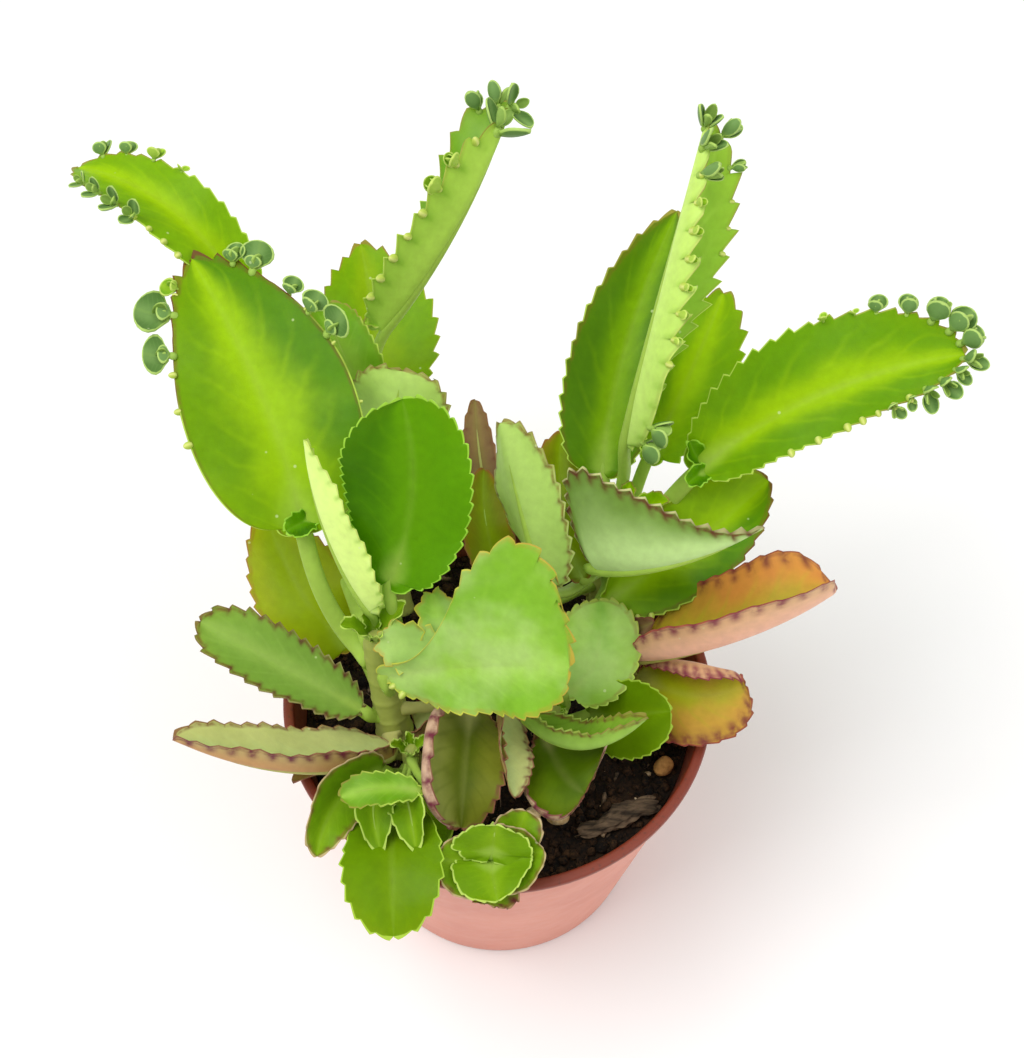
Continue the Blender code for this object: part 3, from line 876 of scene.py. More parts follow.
# A darker, shaded copy of OLIVE: its colours paint shade.
OLIVE_SHADED = replace(OLIVE, name="leaf_olive_shaded", middle=(0.21, 0.3, 0.001),
    outer=(0.16, 0.24, 0.001), shade=(0.19, 0.2, 0.002), rim=(0.28, 0.12, 0.04))
YELLOWED = replace(SUNLIT, name="leaf_yellowed", middle=(0.25, 0.41, 0.001), outer=(0.23, 0.4, 0.001),
    shade=(0.17, 0.35, 0.001), rim=(0.42, 0.5, 0.05), slot="leaf_olive")
REDDENED = replace(SUNLIT, name="leaf_reddened", middle=(0.42, 0.45, 0.02), outer=(0.53, 0.4, 0.03),
    shade=(0.64, 0.27, 0.05), under=(0.9, 0.5, 0.35), rim=(0.45, 0.1, 0.06), line=(0.22, 0.03, 0.04),
    line_share=0.5, mark_share=0.9, mark=(0.16, 0.02, 0.03), under_mark=(0.22, 0.03, 0.07),
    tip=(0.74, 0.24, 0.06), tip_share=0.45, stalk=(0.5, 0.48, 0.12), slot="leaf_red")
RUDDY = replace(REDDENED, name="leaf_ruddy", middle=(0.34, 0.38, 0.006), outer=(0.46, 0.36, 0.01),
    shade=(0.52, 0.3, 0.04), tip=(0.6, 0.28, 0.06), tip_share=0.4)
RED_BACKED = replace(SUNLIT, name="leaf_red_backed", middle=(0.5, 0.59, 0.23), outer=(0.5, 0.56, 0.2),
    shade=(0.5, 0.53, 0.19), under=(0.56, 0.31, 0.13), rim=(0.4, 0.2, 0.1), line=(0.16, 0.03, 0.03),
    line_share=0.7, mark_share=1.0, mark=(0.14, 0.02, 0.03), under_mark=(0.16, 0.025, 0.05),
    stalk=(0.5, 0.5, 0.16), gloss=0.48, slot="leaf_red")
# Dark face; lean keeps its lighter shade colour on the right half, where it paints light.
CURLED = replace(RED_BACKED, name="leaf_curled", middle=(0.075, 0.105, 0.003), outer=(0.15, 0.17, 0.012),
    shade=(0.33, 0.37, 0.08), under=(0.95, 0.6, 0.46), lean=1.0, slot="leaf_olive")
DRY = replace(RED_BACKED, name="leaf_dry", middle=(0.26, 0.18, 0.07), outer=(0.3, 0.18, 0.09),
    shade=(0.24, 0.13, 0.07), under=(0.48, 0.26, 0.16), line_share=0.3, mark_share=0.4)
YOUNG = replace(SUNLIT, name="leaf_young", middle=(0.22, 0.39, 0.008), outer=(0.17, 0.33, 0.005),
    shade=(0.15, 0.3, 0.005), under=(0.42, 0.58, 0.12), rim=(0.55, 0.74, 0.14), rust=0.0)
TENDER = replace(YOUNG, name="leaf_tender", middle=(0.15, 0.28, 0.001), outer=(0.12, 0.24, 0.001),
    shade=(0.13, 0.26, 0.001), rim=(0.4, 0.62, 0.06))
YOUNG_PINK = replace(YOUNG, name="leaf_young_pink_edge", rim=(0.6, 0.44, 0.24), line=(0.28, 0.06, 0.05),
    line_share=0.5, under=(0.52, 0.46, 0.2), mark_share=0.5)
OLD_PINK = replace(YOUNG_PINK, name="leaf_old_pink_edge", slot="leaf_red", mark_share=1.0,
    rim=(0.55, 0.34, 0.18))
OLIVE_CURLED = replace(CURLED, name="leaf_olive_curled", middle=(0.07, 0.13, 0.001),
    outer=(0.1, 0.18, 0.002), shade=(0.11, 0.18, 0.002), under=(0.92, 0.62, 0.42), lean=0.0)
# The shade colours of OFFSHOOT and SPROUT paint shade on the leaflets' outer parts.
OFFSHOOT = LeafFinish("plantlet_skin", (0.19, 0.34, 0.09), (0.13, 0.26, 0.06), (0.1, 0.21, 0.045),
    (0.18, 0.33, 0.09), (0.5, 0.7, 0.18), stalk=(0.4, 0.6, 0.1), rim_width=0.42, gloss=0.34, glow=0.0)
SPROUT = replace(OFFSHOOT, name="sprout_skin", middle=(0.34, 0.58, 0.03), outer=(0.26, 0.5, 0.02),
    shade=(0.2, 0.42, 0.02), under=(0.42, 0.62, 0.08), rim=(0.62, 0.78, 0.16))
BEAD = LeafFinish("bulbil_skin", (0.7, 0.76, 0.22), (0.56, 0.68, 0.12), (0.48, 0.62, 0.09),
    (0.7, 0.74, 0.24), (0.5, 0.6, 0.1), gloss=0.34, glow=0.0)


@dataclass(frozen=True)
class EarthFinish:
    """A rough broken surface: peat, grit, bark or stone."""

    name: str
    dark: Colour
    light: Colour
    scale: float
    stretch: float = 1.0
    roughness: float = 0.9
    depth: float = 0.0006

    def make(self, recipes: Recipes) -> Material:
        """Make the material.

        Args:
            recipes: The shader groups.

        Returns:
            The material.
        """
        material, g, shader = new_material(self.name)
        piece = g.note("lie")[0]
        tone = recipes.earth.place(g, Dark=self.dark, Light=self.light, Scale=self.scale,
                                   Stretch=self.stretch, Piece=piece)
        g.put(tone["Colour"], shader.inputs["Base Color"])
        set_inputs(shader, Roughness=self.roughness, Specular_IOR_Level=0.3)
        g.relief(shader, tone["Height"], 0.8, self.depth)
        return material


PEAT = EarthFinish("peat", (0.003, 0.002, 0.001), (0.03, 0.014, 0.005), 900.0)
CRUMB = EarthFinish("peat_crumbs", (0.004, 0.002, 0.001), (0.06, 0.028, 0.01), 1400.0)
GRIT = EarthFinish("pale_grit", (0.3, 0.19, 0.09), (0.78, 0.62, 0.4), 900.0, depth=0.0002)
# Cream stone colour, partly real and partly painted light: pushed to full brightness against the shade that
# falls on it.
CREAM = EarthFinish("cream_stone", (0.62, 0.42, 0.18), (1.0, 0.86, 0.52), 500.0, depth=0.0003)
AMBER = EarthFinish("amber_stone", (0.22, 0.09, 0.02), (0.58, 0.3, 0.09), 500.0, depth=0.0003)
WOOD = EarthFinish("weathered_bark", (0.01, 0.007, 0.004), (0.2, 0.135, 0.08), 800.0, 0.15)


# --- stems and leaves


@dataclass
class Stem:
    """A fleshy stem: its centre line in millimetres, and its radius at bottom and top.

    slim, swell: its radius share between two scars, and what a scar adds. dome: where the
    rounded top begins and would end, as shares of the length.
    """

    name: str
    bottom: Point
    middle: Point
    top: Point
    radii: Pair
    scars: int = 6
    slim: float = 0.97
    swell: float = 0.07
    dome: Pair = (0.93, 1.02)

    def ends(self) -> list[Array]:
        """Give the three points of the centre line."""
        return [np.array(point, float) for point in (self.bottom, self.middle, self.top)]

    def at(self, height: float) -> tuple[Array, Array, float]:
        """Find the stem at a height.

        Args:
            height: Height in millimetres.

        Returns:
            Centre, direction and radius there.
        """
        steps = np.linspace(0, 1, 101)
        points, along = bend(self.ends(), steps)
        index = int(np.argmin(np.abs(points[:, 2] - height)))
        radius = self.radii[0] + (self.radii[1] - self.radii[0]) * steps[index]
        return points[index], along[index], radius

    def build(self, material: Material) -> Piece:
        """Build the stem with the swollen rings where leaves have fallen.

        Args:
            material: Its material.

        Returns:
            The piece.
        """
        steps = np.concatenate([np.linspace(-0.03, 0.94, 70), [0.96, 0.975, 0.985, 0.993, 1.0]])
        points, along = bend(self.ends(), steps)
        turn = circle(STEM_SIDES)
        side = unit(np.cross(along, (0.0, 1.0, 0.0)))
        front = np.cross(along, side)
        scar = np.abs((steps * self.scars) % 1 - 0.5) * 2
        radius = self.radii[0] + (self.radii[1] - self.radii[0]) * steps
        radius = radius * (self.slim + self.swell * scar**6)
        radius = radius * np.sqrt(np.clip(1 - smooth(*self.dome, steps), 0.02, 1))
        ripple = 1 + 0.02 * np.sin(3 * turn[None] + 9 * steps[:, None]) + 0.012 * np.sin(7 * turn[None])
        spots = points[:, None] + (radius[:, None] * ripple)[..., None] * hoops(side, front, turn)
        draft = Draft(self.name + "_skin")
        across = np.tile(turn / 12, len(steps))
        lie = np.stack([np.repeat(steps, STEM_SIDES), across, np.zeros_like(across)], 1)
        draft.add(spots, tube_faces(len(steps), STEM_SIDES, flip=True), lie, STALKED)
        piece = draft.build(material)
        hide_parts(self.name)
        return piece


@dataclass(frozen=True)
class Growth:
    """Beads or plantlets in the notches of one margin.

    spots: numbers of the notches, counted from the stalk. size: a bead's radius or a
    leaflet's length. lift: how far they lean to the upper side. partner: size of the second
    leaflet against the first. shrink: size of each inner pair against the one outside it.
    spread: how far the outer leaflets open, in degrees. broad: a leaflet's breadth.
    """

    brood: Brood
    half: Half
    spots: tuple[float, ...]
    size: float = 1.0
    leaves: int = 2
    lift: float = 0.5
    partner: float = 0.9
    shrink: float = 0.72
    spread: float = 55.0
    broad: float = 1.1


@dataclass
class Blade:
    """One leaf: stalk, blade, toothed margin and what grows on it. Millimetres and degrees.

    A pair holds the value of the left half, then that of the right half.

    collar, middle, tip: the midrib. half: half widths. face: where the upper side looks.
    fold, curl, curl_power: how far each half turns up at the midrib and towards its margin.
    stalk, thick: thickness. base: width at the collar against the widest, which is at belly.
    rise, power, point: how full the outline is below and above the belly, and at the tip.
    close: the share of the length at which a half ends. teeth, depth, start, flanks, hook,
    crowd: number of teeth, their depth, where they begin, the curve of their sides, where
    their peak stands, and how they gather at the tip. blot: size of the marks at the
    notches. wave, waves: ripples of the margin. lobe: True where there is no stalk.
    """

    node: str
    height: float
    collar: Point
    middle: Point
    tip: Point
    half: Both
    face: Point
    finish: LeafFinish
    fold: Both = 10
    curl: Both = 0
    stalk: float = 2.0
    thick: float = 1.8
    base: float = 0.3
    belly: Both = 0.42
    rise: Both = 0.5
    power: float = 2.0
    point: Both = 0.6
    curl_power: float = 3.0
    close: Both = 1.0
    teeth: int = 14
    depth: Both = 0.9
    start: Both = 0.1
    flanks: Pair = (1.25, 0.85)
    blot: Both = 1.0
    hook: float = 0.74
    crowd: float = 1.12
    wave: float = 0.5
    waves: float = 3.0
    lobe: bool = False
    growths: tuple[Growth, ...] = ()
    columns: tuple[float, ...] = (0, 0.05, 0.12, 0.22, 0.35, 0.5, 0.64, 0.76, 0.86, 0.93, 0.975, 1.0)

    def __post_init__(self) -> None:
        """Give both halves their values, and measure the midrib."""
        for key in ("half", "fold", "curl", "belly", "rise", "point", "close", "depth", "start", "blot"):
            value = getattr(self, key)
            if not isinstance(value, tuple):
                setattr(self, key, (value, value))
        self.ends = [np.array(point, float) for point in (self.collar, self.middle, self.tip)]
        line, _ = bend(self.ends, np.linspace(0, 1, 60))
        self.length = float(np.linalg.norm(np.diff(line, axis=0), axis=1).sum())

    @property
    def stem(self) -> str:
        """Give the name of the stem, whose letter follows the first word of the leaf's name."""
        return f"stem_{self.node[5]}"

    def half_width(self, u: Array, side: int) -> Array:
        """Give one half's width as a share of its widest.

        Args:
            u: Shares of the blade's length.
            side: 0 for the left half, 1 for the right.

        Returns:
            Width shares.
        """
        belly, point = self.belly[side], self.point[side]
        inner = np.clip((belly - u) / belly, 0, 1)
        outer = np.clip((u - belly) / (self.close[side] - belly), 0, 1)
        low = self.base + (1 - self.base) * np.clip(1 - inner**2, 0, 1) ** self.rise[side]
        high = np.clip(1 - outer**self.power, 0, 1) ** point
        return np.where(u < belly, low, high)

    def section(self, share: Array, side: int) -> tuple[Array, Array, Array]:
        """Give the bent section of one half.

        Args:
            share: Distance from the midrib as a share of the half's width.
            side: 0 for the left half, 1 for the right.

        Returns:
            Across, up and slope, as shares of the width and radians.
        """
        s = np.linspace(0, 1.4, 57)
        curled = self.curl[side] * np.clip(s, 0, 1) ** self.curl_power
        angle = np.radians(self.fold[side] * np.clip(s / 0.2, 0, 1) + curled)
        middle = (angle[1:] + angle[:-1]) / 2
        across = np.concatenate([[0], np.cumsum(np.cos(middle))]) / 40
        up = np.concatenate([[0], np.cumsum(np.sin(middle))]) / 40
        return np.interp(share, s, across), np.interp(share, s, up), np.interp(share, s, angle)

    def frames(self, along: Array) -> tuple[Array, Array]:
        """Find the directions beside the midrib.

        Args:
            along: Directions of the midrib.

        Returns:
            Upward and rightward directions.
        """
        face = unit(np.array(self.face, float))
        up = unit(face - (along @ face)[..., None] * along)
        return up, np.cross(along, up)

    def surface(self, x: Array, y: Array, side: int) -> tuple[Array, Array]:
        """Lay flat points of the blade in space.

        Args:
            x: Distance along the midrib in millimetres.
            y: Distance from the midrib in millimetres.
            side: 0 for the left half, 1 for the right.

        Returns:
            Points and upward normals.
        """
        u = x / self.length
        centre, along = bend(self.ends, u)
        up, right = self.frames(along)
        wide = np.maximum(self.half_width(np.clip(u, 0, 1), side), 0.35) * self.half[side]
        across, rise, slope = self.section(y / wide, side)
        sign = 1 if side else -1
        points = centre + wide[..., None] * (sign * across[..., None] * right + rise[..., None] * up)
        normals = np.cos(slope)[..., None] * up - sign * np.sin(slope)[..., None] * right
        return points, normals

    def margin(self, side: int, phase: Array) -> dict[str, Array]:
        """Trace one toothed margin from the stalk to the tip.

        Args:
            side: 0 for the left half, 1 for the right.
            phase: Positions in teeth, 0 at the stalk and self.teeth at the tip.

        Returns:
            Flat notch line (x, y), tooth offset (dx, dy), share of the margin (t) and the
            distance to the nearest notch.
        """
        corner = min(3.5, 0.6 * self.base * self.half[side] + 0.5)
        u = np.concatenate([np.linspace(-1, 0, 40)[:-1] * corner / self.length,
                            1 - (1 - np.linspace(0, 1, 700)) ** 2.2])
        stalk = self.stalk * 0.8
        wide = self.half_width(np.clip(u, 0, 1), side) * self.half[side]
        early = np.clip(-u * self.length / corner, 0, 1)
        round_in = stalk + np.maximum(wide - stalk, 0.1) * np.sqrt(np.clip(1 - early**2, 0, 1))
        y = np.where(u < 0, round_in, wide)
        x = u * self.length
        run = np.concatenate([[0], np.cumsum(np.hypot(np.diff(x), np.diff(y)))])
        whole = run[-1]
        t = np.clip(phase / self.teeth, 0, 1) ** self.crowd
        here = t * whole
        gx, gy = np.interp(here, run, x), np.interp(here, run, y)
        step = whole * 0.006
        tx = np.interp(here + step, run, x) - np.interp(here - step, run, x)
        ty = np.interp(here + step, run, y) - np.interp(here - step, run, y)
        size = np.maximum(np.hypot(tx, ty), 1e-6)
        tx, ty = tx / size, ty / size
        part = phase - np.floor(phase)
        uneven = 1 + UNEVEN * np.sin(2.7 * np.floor(phase) + 3.0 * side + self.height)
        tooth = np.where(part < self.hook, (part / self.hook) ** self.flanks[0],
                         ((1 - part) / (1 - self.hook)) ** self.flanks[1])
        grown = smooth(self.start[side] - 0.12, self.start[side] + 0.12, t)
        amount = self.depth[side] * tooth * uneven * grown * (1 - 0.3 * smooth(0.95, 1.0, t))
        outward = np.stack([-ty, tx], -1)
        lean = 1.4 * max(self.hook - 0.5, 0)
        shift = outward * amount[:, None] + np.stack([tx, ty], -1) * (lean * amount)[:, None]
        dx, dy = shift[:, 0], shift[:, 1]
        near = np.abs(t - (np.round(phase) / self.teeth) ** self.crowd) * whole
        return {"x": gx, "y": gy, "dx": dx, "dy": dy, "t": t, "near": near}

    def rows(self) -> Array:
        """Lay out the rows, close together around each notch.

        Returns:
            Row positions, in teeth.
        """
        steps = np.concatenate([self.hook * np.array([0.0, 0.1, 0.3, 0.52, 0.74, 0.9, 1.0]),
                                self.hook + (1 - self.hook) * np.array([0.38, 0.76])])
        rows = (np.arange(self.teeth)[:, None] + steps).ravel()
        return np.concatenate([rows, [self.teeth - 0.02]])

    def sheet(self) -> dict[str, Array]:
        """Lay out both faces of the blade.

        Returns:
            Top and under points, with their notes.
        """
        phase = self.rows()
        sides = [self.margin(side, phase) for side in (0, 1)]
        foot = [np.clip(edge["x"] - 0.3 * edge["y"], -1.0, self.length) for edge in sides]
        base = np.maximum.accumulate((foot[0] + foot[1]) / 2) + np.arange(len(phase)) * 1e-3
        c = np.array(self.columns)
        top, under, lie, trim = [], [], [], []
        for side, edge in enumerate(sides):
            inner = 1 - 1.7 * self.depth[side] / self.half[side]
            blend = smooth(min(max(inner, 0.35), 0.92), 1.0, c)
            x = base[:, None] + (edge["x"] - base)[:, None] * c + edge["dx"][:, None] * blend
            y = edge["y"][:, None] * c + edge["dy"][:, None] * blend
            points, normals = self.surface(x, y, side)
            ripple = self.wave * np.sin(2 * math.pi * self.waves * edge["t"] + 2.4 * side + self.height)
            ripple = ripple[:, None] * c**2.5 * smooth(0.0, 0.15, edge["t"])[:, None]
            tooth_lift = TOOTH_LIFT * np.hypot(edge["dx"], edge["dy"])[:, None] * blend
            points = points + normals * (ripple + tooth_lift)[..., None]
            groove = GROOVE[0] * np.exp(-((y / GROOVE[1]) ** 2)) * (1 - smooth(0.6, 1.0, x / self.length))
            depth = (EDGE_THICK + (self.thick - EDGE_THICK) * (1 - c) ** 1.4) * taper(x / self.length)
            away = np.hypot(edge["x"] + edge["dx"] - base, edge["y"] + edge["dy"])[:, None] * (1 - c)
            blot = self.blot[side]
            notch = np.exp(-((edge["near"] / (BLOT_ALONG * blot)) ** 2))[:, None]
            notch = notch * (1 - smooth(BLOT_INWARD[0] * blot, BLOT_INWARD[1] * blot, away))
            order = slice(None, None, -1) if side == 0 else slice(1, None)
            top.append((points - normals * groove[..., None])[:, order])
            under.append((points - normals * depth[..., None])[:, order])
            along = np.clip(x / self.length, 0, 1)
            across = np.broadcast_to(c if side else -c, along.shape)
            lie.append(np.stack([along, across, np.zeros_like(along)], -1)[:, order])
            trim.append(np.stack([away, notch, np.zeros_like(along)], -1)[:, order])
        return {"top": np.concatenate(top, 1), "under": np.concatenate(under, 1),
                "lie": np.concatenate(lie, 1), "trim": np.concatenate(trim, 1)}

    def stalk_line(self, stem: Stem) -> tuple[Array, Array, Array]:
        """Follow the stalk out of the stem and on under the blade as its keel.

        Args:
            stem: The stem it grows from.

        Returns:
            Centre points, directions and the thickness share at each.
        """
        centre, axis, radius = stem.at(self.height)
        collar = self.ends[0]
        away = collar - centre
        away = unit(away - (away @ axis) * axis)
        root = centre + away * (radius - 0.8)
        _, along = bend(self.ends, np.array([0.0]))
        reach = float(np.linalg.norm(collar - root))
        first, second = root + away * reach * 0.35, collar - along[0] * reach * 0.4
        t = np.linspace(0, 1, 22)[:-1, None]
        k = 1 - t
        line = k**3 * root + 3 * k**2 * t * first + 3 * k * t**2 * second + t**3 * collar
        swell = 1 + 0.45 * (1 - smooth(0.0, 0.16, t[:, 0]))
        facing, _ = self.frames(unit(np.gradient(line, axis=0)))
        line = line - facing * (self.thick * KEEL_SINK * smooth(0.55, 1.0, t))
        u = np.linspace(0, 0.82, 16)
        keel, way = bend(self.ends, u)
        up, _ = self.frames(way)
        sink = self.thick * taper(u) * KEEL_SINK
        keel = keel - up * sink[:, None]
        thin = (1 - u / 0.86) ** 0.8
        points = np.concatenate([line, keel])
        return points, unit(np.gradient(points, axis=0)), np.concatenate([swell, thin])

    def add_stalk(self, draft: Draft, stem: Stem) -> None:
        """Add the stalk and keel as one tapering tube.

        Args:
            draft: The leaf's draft.
            stem: The stem it grows from.
        """
        points, along, share = self.stalk_line(stem)
        _, first = bend(self.ends, np.array([0.0]))
        _, right = self.frames(first)
        side = unit(right[0] - (along @ right[0])[:, None] * along)
        rise = np.cross(side, along)
        turn = circle(STALK_SIDES)
        deep = np.where(np.sin(turn) > 0, 0.55, 0.85)
        wide = np.linspace(1.0, 0.8, len(points)) * share * self.stalk
        spots = points[:, None] + wide[:, None, None] * hoops(side, rise, turn, deep)
        draft.add(spots, tube_faces(len(points), STALK_SIDES), (0.3, 0.0, 1.0), STALKED)

    def build(self, stem: Stem, material: Material) -> Piece:
        """Build the whole leaf.

        Args:
            stem: The stem it grows from.
            material: Its material.

        Returns:
            The piece.
        """
        sheet = self.sheet()
        rows, columns = sheet["top"].shape[:2]
        draft = Draft(self.node + "_blade")
        points = np.concatenate([sheet["top"].reshape(-1, 3), sheet["under"].reshape(-1, 3)])
        lie = np.concatenate([sheet["lie"].reshape(-1, 3)] * 2)
        lie[rows * columns:, 2] = 1.0
        trim = np.concatenate([sheet["trim"].reshape(-1, 3)] * 2)
        draft.add(points, shell_faces(rows, columns), lie, trim)
        if not self.lobe:
            self.add_stalk(draft, stem)
        piece = draft.build(material)
        if not self.lobe:
            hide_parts(self.node)
        return piece

    def seat(self, half: Half, notch: float) -> tuple[Array, Array, Array]:
        """Find a place on the margin.

        Args:
            half: Which margin.
            notch: Number of the notch, counted from the stalk.

        Returns:
            The point, the outward direction and the upward normal.
        """
        side = half.value
        edge = self.margin(side, np.array([notch, notch + 0.1]))
        away = np.array([edge["x"][1] - edge["x"][0], edge["y"][1] - edge["y"][0]])
        out = unit(np.array([-away[1], away[0]]))
        x = np.array([edge["x"][0], edge["x"][0] - 0.8 * out[0]])
        y = np.array([edge["y"][0], max(edge["y"][0] - 0.8 * out[1], 0.05)])
        points, normals = self.surface(x, y, side)
        return points[0], unit(points[0] - points[1]), normals[0]


@dataclass
class Crown:
    """The young leaves at a stem's tip, in opposite pairs. Millimetres and degrees."""

    stem: str
    sizes: tuple[float, ...]
    turn: float = 0.0
    lean: float = 28.0
    finish: LeafFinish = YOUNG

    def build(self, stem: Stem, material: Material) -> list[Piece]:
        """Build each young leaf.

        Args:
            stem: The stem whose tip it is.
            material: The leaves' material.

        Returns:
            The pieces.
        """
        top = stem.ends()[2]
        pieces = []
        for index, size in enumerate(self.sizes):
            turn = math.radians(self.turn + 180 * index + 90 * (index // 2))
            lean = math.radians(self.lean - 7 * (index // 2))
            flat = np.array([math.cos(turn), math.sin(turn), 0.0])
            rise = np.array([0.0, 0.0, 1.0])
            way = math.sin(lean) * flat + math.cos(lean) * rise
            inward = math.sin(lean) * rise - math.cos(lean) * flat
            root = top + 0.45 * stem.radii[1] * flat - 1.2 * rise
            points = [root, root + 0.55 * size * way, root + size * way - 0.12 * size * inward]
            leaf = Blade(f"{self.stem}_young_{index + 1}", 0, *(tuple(point) for point in points),
                         0.26 * size, tuple(inward), self.finish, fold=30, thick=1.0, base=0.4, belly=0.5,
                         teeth=7, depth=0.5, lobe=True)
            pieces.append(leaf.build(stem, material))
        return pieces


# --- bulbils and plantlets


class Nursery:
    """Makes the beads and tiny rosettes that grow on the margins."""

    def __init__(self, seed: int) -> None:
        """Prepare one leaflet and one bead.

        Args:
            seed: Seed for the small differences between plantlets.
        """
        self.random = np.random.default_rng(seed)
        self.leaflet = self.make_leaflet()
        self.bead = self.make_bead()

    @staticmethod
    def make_leaflet() -> tuple[Array, list, Array, Array]:
        """Make a cupped round leaflet one unit long, growing along +X, its hollow side up.

        Returns:
            Points, faces, and the two notes.
        """
        u = np.array([0, 0.12, 0.28, 0.45, 0.62, 0.78, 0.9, 0.97, 1.0])
        v = np.array([-1, -0.85, -0.5, 0, 0.5, 0.85, 1])
        wide = np.array([0.1, 0.2, 0.38, 0.46, 0.45, 0.38, 0.27, 0.15, 0.05])
        x = np.repeat(u[:, None], len(v), 1)
        y = wide[:, None] * v
        z = 0.55 * y**2 + 0.28 * (x - 0.35) ** 2 - 0.02
        top = np.stack([x, y, z], -1)
        under = top - np.array([0, 0, 1.0]) * (0.07 + 0.1 * (1 - np.abs(v)[None]) * (1 - x * 0.5))[..., None]
        away = np.minimum(wide[:, None] * (1 - np.abs(v)), 1 - x)
        lie = np.stack([x, np.abs(y) / 0.54, np.zeros_like(x)], -1).reshape(-1, 3)
        trim = np.stack([away, np.zeros_like(x), 0.6 * (1 - smooth(0.0, 0.25, x))], -1).reshape(-1, 3)
        below = lie.copy()
        below[:, 2] = 1
        points = np.concatenate([top.reshape(-1, 3), under.reshape(-1, 3)])
        faces = shell_faces(len(u), len(v), flip=True)
        return points, faces, np.concatenate([lie, below]), np.concatenate([trim, trim])

    @staticmethod
    def make_bead() -> tuple[Array, list]:
        """Make an egg shape one unit in radius, pointing along +X.

        Returns:
            Points and faces.
        """
        shape = bmesh.new()
        bmesh.ops.create_uvsphere(shape, u_segments=10, v_segments=8, radius=1.0)
        points, faces = sorted_mesh(*take(shape))
        points = points[:, [2, 0, 1]]
        points[:, 1:] *= (1 - 0.18 * points[:, :1])
        return points * np.array([1.25, 1.0, 0.85]), faces

    def add_plantlet(self, draft: Draft, spot: Array, out: Array, up: Array, size: float,
                     growth: Growth) -> None:
        """Add a rosette of opposite pairs of leaflets.

        Args:
            draft: The draft to add to.
            spot: Where it sits, in millimetres.
            out: Direction it grows in.
            up: A direction across it.
            size: Length of its largest leaflet in millimetres.
            growth: What is said about its leaflets.
        """
        points, faces, lie, trim = self.leaflet
        out = unit(out)
        side = unit(np.cross(out, up))
        front = np.cross(side, out)
        start = self.random.uniform(-0.6, 0.6) * min(growth.spread / 55, 1) - math.pi / 2
        for index in range(growth.leaves):
            pair = index // 2
            turn = start + math.pi * index + pair * math.pi / 2 + self.random.uniform(-0.25, 0.25)
            open_angle = math.radians(growth.spread * (1 - 0.4 * pair) + self.random.uniform(-9, 9))
            long = size * growth.shrink**pair * (growth.partner if index % 2 else 1.0)
            long *= self.random.uniform(0.9, 1.1)
            radial = math.cos(turn) * side + math.sin(turn) * front
            forward = math.sin(open_angle) * radial + math.cos(open_angle) * out
            inward = -math.cos(open_angle) * radial + math.sin(open_angle) * out
            across = np.cross(inward, forward)
            base = spot + out * (0.1 * size * (1 + pair)) + radial * 0.05 * size
            frame_of = np.stack([forward, across, inward])
            shown = trim * np.array([long, 1, 1])
            shown[:, 2] = np.maximum(shown[:, 2], 0.5 * min(pair, 1))
            shape = points * np.array([1.0, growth.broad, 1.0])
            draft.add(base + (shape * long) @ frame_of, faces, lie, shown)
        self.add_bead(draft, spot, out, up, 0.16 * size, 0.8)

    def add_bead(self, draft: Draft, spot: Array, out: Array, up: Array, size: float,
                 stalk: float = 0.0) -> None:
        """Add one bulbil.

        Args:
            draft: The draft to add to.
            spot: Where it sits, in millimetres.
            out: Direction it points in.
            up: A direction across it.
            size: Radius in millimetres.
            stalk: 1 for the little foot of a plantlet.
        """
        points, faces = self.bead
        out = unit(out)
        side = unit(np.cross(up, out))
        frame_of = np.stack([out, side, np.cross(out, side)])
        across = np.clip(np.abs(points[:, 1:2]), 0, 1)
        lie = np.concatenate([np.clip(points[:, :1] * 0.4 + 0.5, 0, 1), across, np.zeros_like(across)], 1)
        draft.add(spot + (points * size) @ frame_of, faces, lie, (10.0, 0.0, stalk))

    def build(self, blade: Blade, materials: dict[Brood, Material]) -> list[Piece]:
        """Build everything that grows on one leaf.

        Args:
            blade: The leaf.
            materials: A material for each sort of growth.

        Returns:
            The pieces.
        """
        drafts: dict[Brood, Draft] = {}
        for growth in blade.growths:
            draft = drafts.setdefault(growth.brood, Draft(f"{blade.node}_{growth.brood.value}"))
            for notch in growth.spots:
                spot, out, up = blade.seat(growth.half, notch)
                size = growth.size * self.random.uniform(0.82, 1.15)
                aim = out + growth.lift * up
                if growth.brood is Brood.BEADS:
                    self.add_bead(draft, spot + 0.3 * size * out, aim, up, size)
                else:
                    self.add_plantlet(draft, spot + 0.1 * out, aim, up, size, growth)
        pieces = []
        for brood, draft in drafts.items():
            piece = draft.build(materials[brood])
            pieces.append(piece)
        return pieces


# --- pot, soil and what lies on it


def arc(x: float, z: float, radius: float, degrees: tuple[float, ...]) -> list[Pair]:
    """Give the points of an arc round a centre, at angles in degrees."""
    return [(x + radius * math.cos(turn), z + radius * math.sin(turn)) for turn in np.radians(degrees)]


